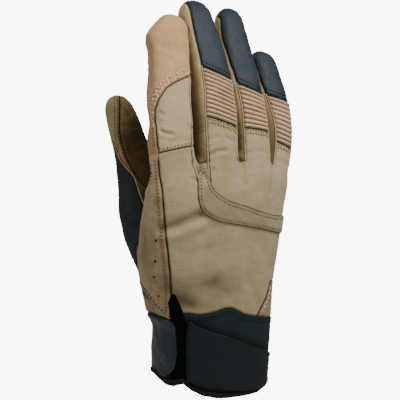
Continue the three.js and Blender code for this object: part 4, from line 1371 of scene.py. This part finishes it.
# finger backs: rows above each tip's lower edge and below each rib panel
for k in BACKS:
    u_in = lambda P, k=k: (lambda u, v, t: (u > left_edge[k](t) + 0.7) & (u < right_edge[k](t) - 0.7))(*at(k, P))
    low_side = lambda P, k=k: (lambda u, v, t: np.abs(t - tip_low[k](u)) < 1.0)(*at(k, P))
    rows(k + "_tip", (1.3, 3.3), u_in, low_side, "navy_rows", near=False, pitch=2.0, length=1.5, radius=0.3)
    rib_side = lambda P, k=k: (lambda u, v, t: (np.abs(t - ribs_low[k](u)) < 1.0) & (v > 0))(*at(k, P))
    rows("back_panel", (1.2, 3.1), u_in, rib_side, "brown_rows", near=False, pitch=1.9, length=1.7, radius=0.28, zigzag=0.7)
    for line in seam_lines(k + "_tip", low_side):
        tube("line", line, 0.22, -0.25)
    for line in seam_lines(k + "_ribs", rib_side):
        tube("line", line, 0.22, -0.25)
    # piping down both sides of the finger's back
    side = lambda P, k=k: (lambda u, v, t: (np.minimum(np.abs(u - left_edge[k](t)), np.abs(u - right_edge[k](t))) < 0.8) & (v > 1) & (t < tip_low[k](u) + 1))(*at(k, P))
    for line in seam_lines(k + "_wall", side):
        tube("piping", line, 0.42, 0.05)
    upper = lambda P, k=k: (lambda u, v, t: (np.minimum(np.abs(u - left_edge[k](t)), np.abs(u - right_edge[k](t))) < 0.8) & (v > 1) & (t > tip_low[k](u) + 1))(*at(k, P))
    for line in seam_lines(k + "_tip", upper):
        tube("line", line, 0.22, -0.25)

# index: fold line of the cap
cap_line = lambda P: (lambda u, v, t: (v > 1.5) & (t < 78.5) & (t > 34) & (u < 10.5))(*at("index", P))
rows("index_cap", (1.9, 4.3), lambda P: (at("index", P)[1] > 0.5) & (at("index", P)[2] > 46), cap_line, "tan_rows", pitch=2.6, length=2.5, radius=0.42, zigzag=0.8)
rows("index_cap", (2.4,), lambda P: (at("index", P)[1] > 0.5) & (at("index", P)[2] <= 46), cap_line, "brown_rows", pitch=2.1, length=1.8, radius=0.3, zigzag=0.7)
for line in seam_lines("index_back", lambda P: (lambda u, v, t: (v > 1.5) & (u < 10.3) & (t > 31))(*at("index", P))):
    tube("line", line, 0.22, -0.25)
base_line = lambda P: (lambda u, v, t: (np.abs(t - 32.6 - 0.21 * u) < 1.2) & (v > 2))(*at("index", P))
for line in seam_lines("index_back", base_line):
    tube("line", line, 0.22, -0.25)
rows("index_back", (1.9,), lambda P: at("index", P)[1] > 3, base_line, "brown_rows", near=False, pitch=2.5, length=1.2, radius=0.3)
for line in seam_lines("index_back", lambda P: (lambda u, v, t: (np.abs(u - index_right(t)) < 0.8) & (v > 1) & (t < 77))(*at("index", P))):
    tube("piping", line, 0.42, 0.1)

# side strip: stitches along the seam with the back and along its rear edge
strip_right = lambda P: (np.abs(P[:, 0] - strip_seam(P[:, 2])) < 1.2) & (P[:, 1] < 6) & ~tail_seam(P)
for line in seam_lines("side_strip", strip_right):
    tube("line", line, 0.3, -0.2)
rows("side_strip", (3.0,), lambda P: P[:, 2] > 57, strip_right, "brown_rows", pitch=2.2, length=2.0, radius=0.32, zigzag=1.2)
strip_left = lambda P: (np.abs(P[:, 1] - strip_edge(P[:, 2])) < 1.2) & (P[:, 2] < 106)
rows("side_strip", (2.2,), lambda P: P[:, 2] > 54, strip_left, "brown_rows", pitch=2.6, length=1.4, radius=0.3)
for line in seam_lines("side_strip", lambda P: strip_left(P) & (P[:, 2] < 72)):
    tube("piping", line, 0.4, 0.1)

# thumb: double row along its front seam
thumb_line = lambda P: (lambda u, v, t: (np.abs(u - thumb_seam(t)) < 1.0) & (v > 0))(*at("thumb", P))
rows("thumb_strip", (1.2, 3.2), lambda P: at("thumb", P)[1] > 1, thumb_line, "brown_rows", near=False, pitch=2.2, length=1.3, radius=0.3)
for line in seam_lines("thumb_inner", thumb_line):
    tube("line", line, 0.24, -0.2)
navy_line = lambda P: (lambda u, v, t: (np.abs(u - navy_edge(t)) < 1.0) & (v > -2))(*at("thumb", P))
for line in seam_lines("thumb_side", navy_line):
    tube("piping", line, 0.4, 0.1)

# ulnar corner
ulnar_line = lambda P: (P[:, 2] > 50) & (P[:, 1] < -4) & (P[:, 0] < 33)
rows("ulnar_corner", (2.2,), lambda P: P[:, 1] < -6, ulnar_line, "tan_rows", pitch=3.2, length=1.9, radius=0.34)
for line in seam_lines("ulnar_corner", ulnar_line):
    tube("line", line, 0.3, -0.2)

# knuckle band: rows inside both edges, and a painted shadow line under its outer edge
everywhere = lambda P: np.ones(len(P), bool)
band_mask = lambda P: P[:, 0] < 41
rows("knuckle_band", (1.8,), band_mask, everywhere, "brown_rows", base=0.8, pitch=2.1, length=1.2, radius=0.3)
for line in seam_lines("knuckle_band", band_mask):
    tube("line", line, 0.34, 0.02)

# the band's two edges run on as piped seams between index and middle finger, and short seams run down from the other crotches
RUNS = [
    ("index", [(10.7, 34), (10.5, 28), (10.2, 21), (10.6, 15), (11.4, 11.5)], 0.45),
    ("middle", [(-10.2, 30), (-10.6, 22), (-10.4, 16), (-10.6, 12)], 0.45),
    ("ring", [(9.0, 26), (9.4, 19), (8.4, 14), (7.4, 10)], 0.4),
]
for k, pts, r in RUNS:
    q = outline([(a, b, 0) for a, b in pts], False, 6)
    tube("piping", on_skin(L[k].world(q[:, 0], np.full(len(q), 9.0), q[:, 1])), r, 0.15)
    if k != "ring":
        # and a painted shadow line beside the piping
        tube("line", on_skin(L[k].world(q[:, 0] + (-1.1 if k == "index" else 1.1), np.full(len(q), 9.0), q[:, 1])), 0.24, -0.05)

# cuff edge, strap and side panel
cuff_edge = lambda P: (np.abs(P[:, 2] - cuff_line(P[:, 0])) < 1.0)
rows("cuff_wall", (1.6, 3.4), lambda P: P[:, 1] < 40, cuff_edge, "dark_rows", pitch=1.9, length=1.4, radius=0.22)
rows("closure_strap", (1.8, 3.2), lambda P: (P[:, 1] < 0) & (P[:, 0] < 26), everywhere, "dark_rows", base=1.7, pitch=2.0, length=1.5, radius=0.22)
rows("cuff_side_panel", (1.6,), lambda P: P[:, 1] < 9, everywhere, "dark_rows", base=0.9, pitch=1.9, length=1.3, radius=0.2)

# the 'line' group is painted shadow in the seams
for group, name, look, node in (("tan_rows", "tan_stitches", "thread", "back_panel"), ("quiet_rows", "quiet_stitches", "quiet", "back_panel"), ("navy_rows", "tip_stitches", "darkthread", "middle_tip"), ("brown_rows", "brown_stitches", "brown", "knuckle_band"),
                                ("dark_rows", "cuff_stitches", "darkthread", "cuff_wall"), ("piping", "seam_piping", "piping", "middle_body"),
                                ("line", "seam_lines", "line", "back_panel")):
    ob = flush_threads(group, name)
    if ob:
        ob.data.materials.append(LOOKS[look])

# perforations in the side strip: flat dark discs with a raised rim, painted shade for the inside of each hole
holes = [(-47.8, -19.4, 103.8), (-47.5, -17.3, 90.3), (-46.7, -14.3, 80.0), (-42.3, -11.9, 67.2)]
hv, ht, n = [], [], 0
for p in holes:
    c = on_skin(np.array([p], float))
    N = gradient(c)[0]
    c = c[0] + N * (folds(c)[0] + 0.02)
    a = np.cross(N, (0, 0, 1.0))
    a /= np.linalg.norm(a)
    b = np.cross(N, a)
    ring = []
    for r, h in ((0.0, 0.02), (0.5, 0.02), (0.58, 0.1), (0.7, 0.1), (0.8, -0.15)):
        for k in range(20):
            w = 2 * math.pi * k / 20
            ring.append(c + r * (math.cos(w) * a + math.sin(w) * b) + h * N)
    for i in range(4):
        for k in range(20):
            q0, q1 = n + i * 20 + k, n + i * 20 + (k + 1) % 20
            ht += [(q0, q0 + 20, q1 + 20), (q0, q1 + 20, q1)]
    hv += ring
    n += len(ring)
ob = new_object("strip_perforations", np.array(hv), np.array(ht))
ob.data.materials.append(LOOKS["hole"])
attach(ob, "root")

# ------------------------------------------------------------------ stage, camera and light
def staged(ob):
    bpy.context.scene.collection.objects.link(ob)
    return ob


me = bpy.data.meshes.new("floor")
me.from_pydata([(0.38 * math.cos(k * math.pi / 32), 0.38 * math.sin(k * math.pi / 32), 0) for k in range(64)], [], [list(range(64))])
floor = staged(bpy.data.objects.new("floor", me))
floor.location = (0, 0, -0.16)
white = bpy.data.materials.new("floor_white")
white.use_nodes = True
wb = white.node_tree.nodes["Principled BSDF"]
wb.inputs["Base Color"].default_value = (0.9, 0.9, 0.9, 1)
wb.inputs["Roughness"].default_value = 0.9
me.materials.append(white)

RIGHT, UP, FWD = np.array([0.88295, -0.46947, 0]), np.array([0.08152, 0.15332, 0.98481]), np.array([0.46234, 0.86954, -0.17365])
cam_data = bpy.data.cameras.new("camera")
cam = staged(bpy.data.objects.new("camera", cam_data))
R = Matrix([[RIGHT[i], UP[i], -FWD[i]] for i in range(3)])
loc = (RIGHT * -6.3 + UP * 120 - FWD * 1600) * MM
cam.matrix_world = Matrix.Translation(loc) @ R.to_4x4()
cam_data.lens = 227.85
cam_data.sensor_width = 36
cam_data.clip_end = 50
bpy.context.scene.camera = cam


def area(name, offset, size, watts, colour=(1, 1, 1), target=(0, 0, 0.12)):
    d = bpy.data.lights.new(name, "AREA")
    d.shape, d.size, d.energy, d.color = "DISK", size, watts, colour
    o = staged(bpy.data.objects.new(name, d))
    p = np.array(target) + RIGHT * offset[0] + UP * offset[1] - FWD * offset[2]
    z = p - np.array(target)
    z /= np.linalg.norm(z)
    x = np.cross((0, 0, 1.0), z)
    x /= np.linalg.norm(x)
    y = np.cross(z, x)
    o.matrix_world = Matrix.Translation(p) @ Matrix([[x[i], y[i], z[i]] for i in range(3)]).to_4x4()
    return o


area("key", (0.30, 0.50, 0.42), 0.26, 6.3, (1.0, 0.985, 0.95), (0, 0, 0.18))
area("fill_left", (-1.1, 0.45, 0.6), 0.6, 3.0, (0.98, 0.99, 1.0), (0, 0, 0.15))

world = bpy.data.worlds.new("world")
bpy.context.scene.world = world
world.use_nodes = True
nt = world.node_tree
nt.nodes.clear()
out = nt.nodes.new("ShaderNodeOutputWorld")
mixer = nt.nodes.new("ShaderNodeMixShader")
soft, back = nt.nodes.new("ShaderNodeBackground"), nt.nodes.new("ShaderNodeBackground")
soft.inputs[0].default_value, soft.inputs[1].default_value = (1, 1, 1, 1), 0.38
back.inputs[0].default_value, back.inputs[1].default_value = (1, 1, 1, 1), 9.0
path = nt.nodes.new("ShaderNodeLightPath")
nt.links.new(path.outputs["Is Camera Ray"], mixer.inputs[0])
nt.links.new(soft.outputs[0], mixer.inputs[1])
nt.links.new(back.outputs[0], mixer.inputs[2])
nt.links.new(mixer.outputs[0], out.inputs[0])
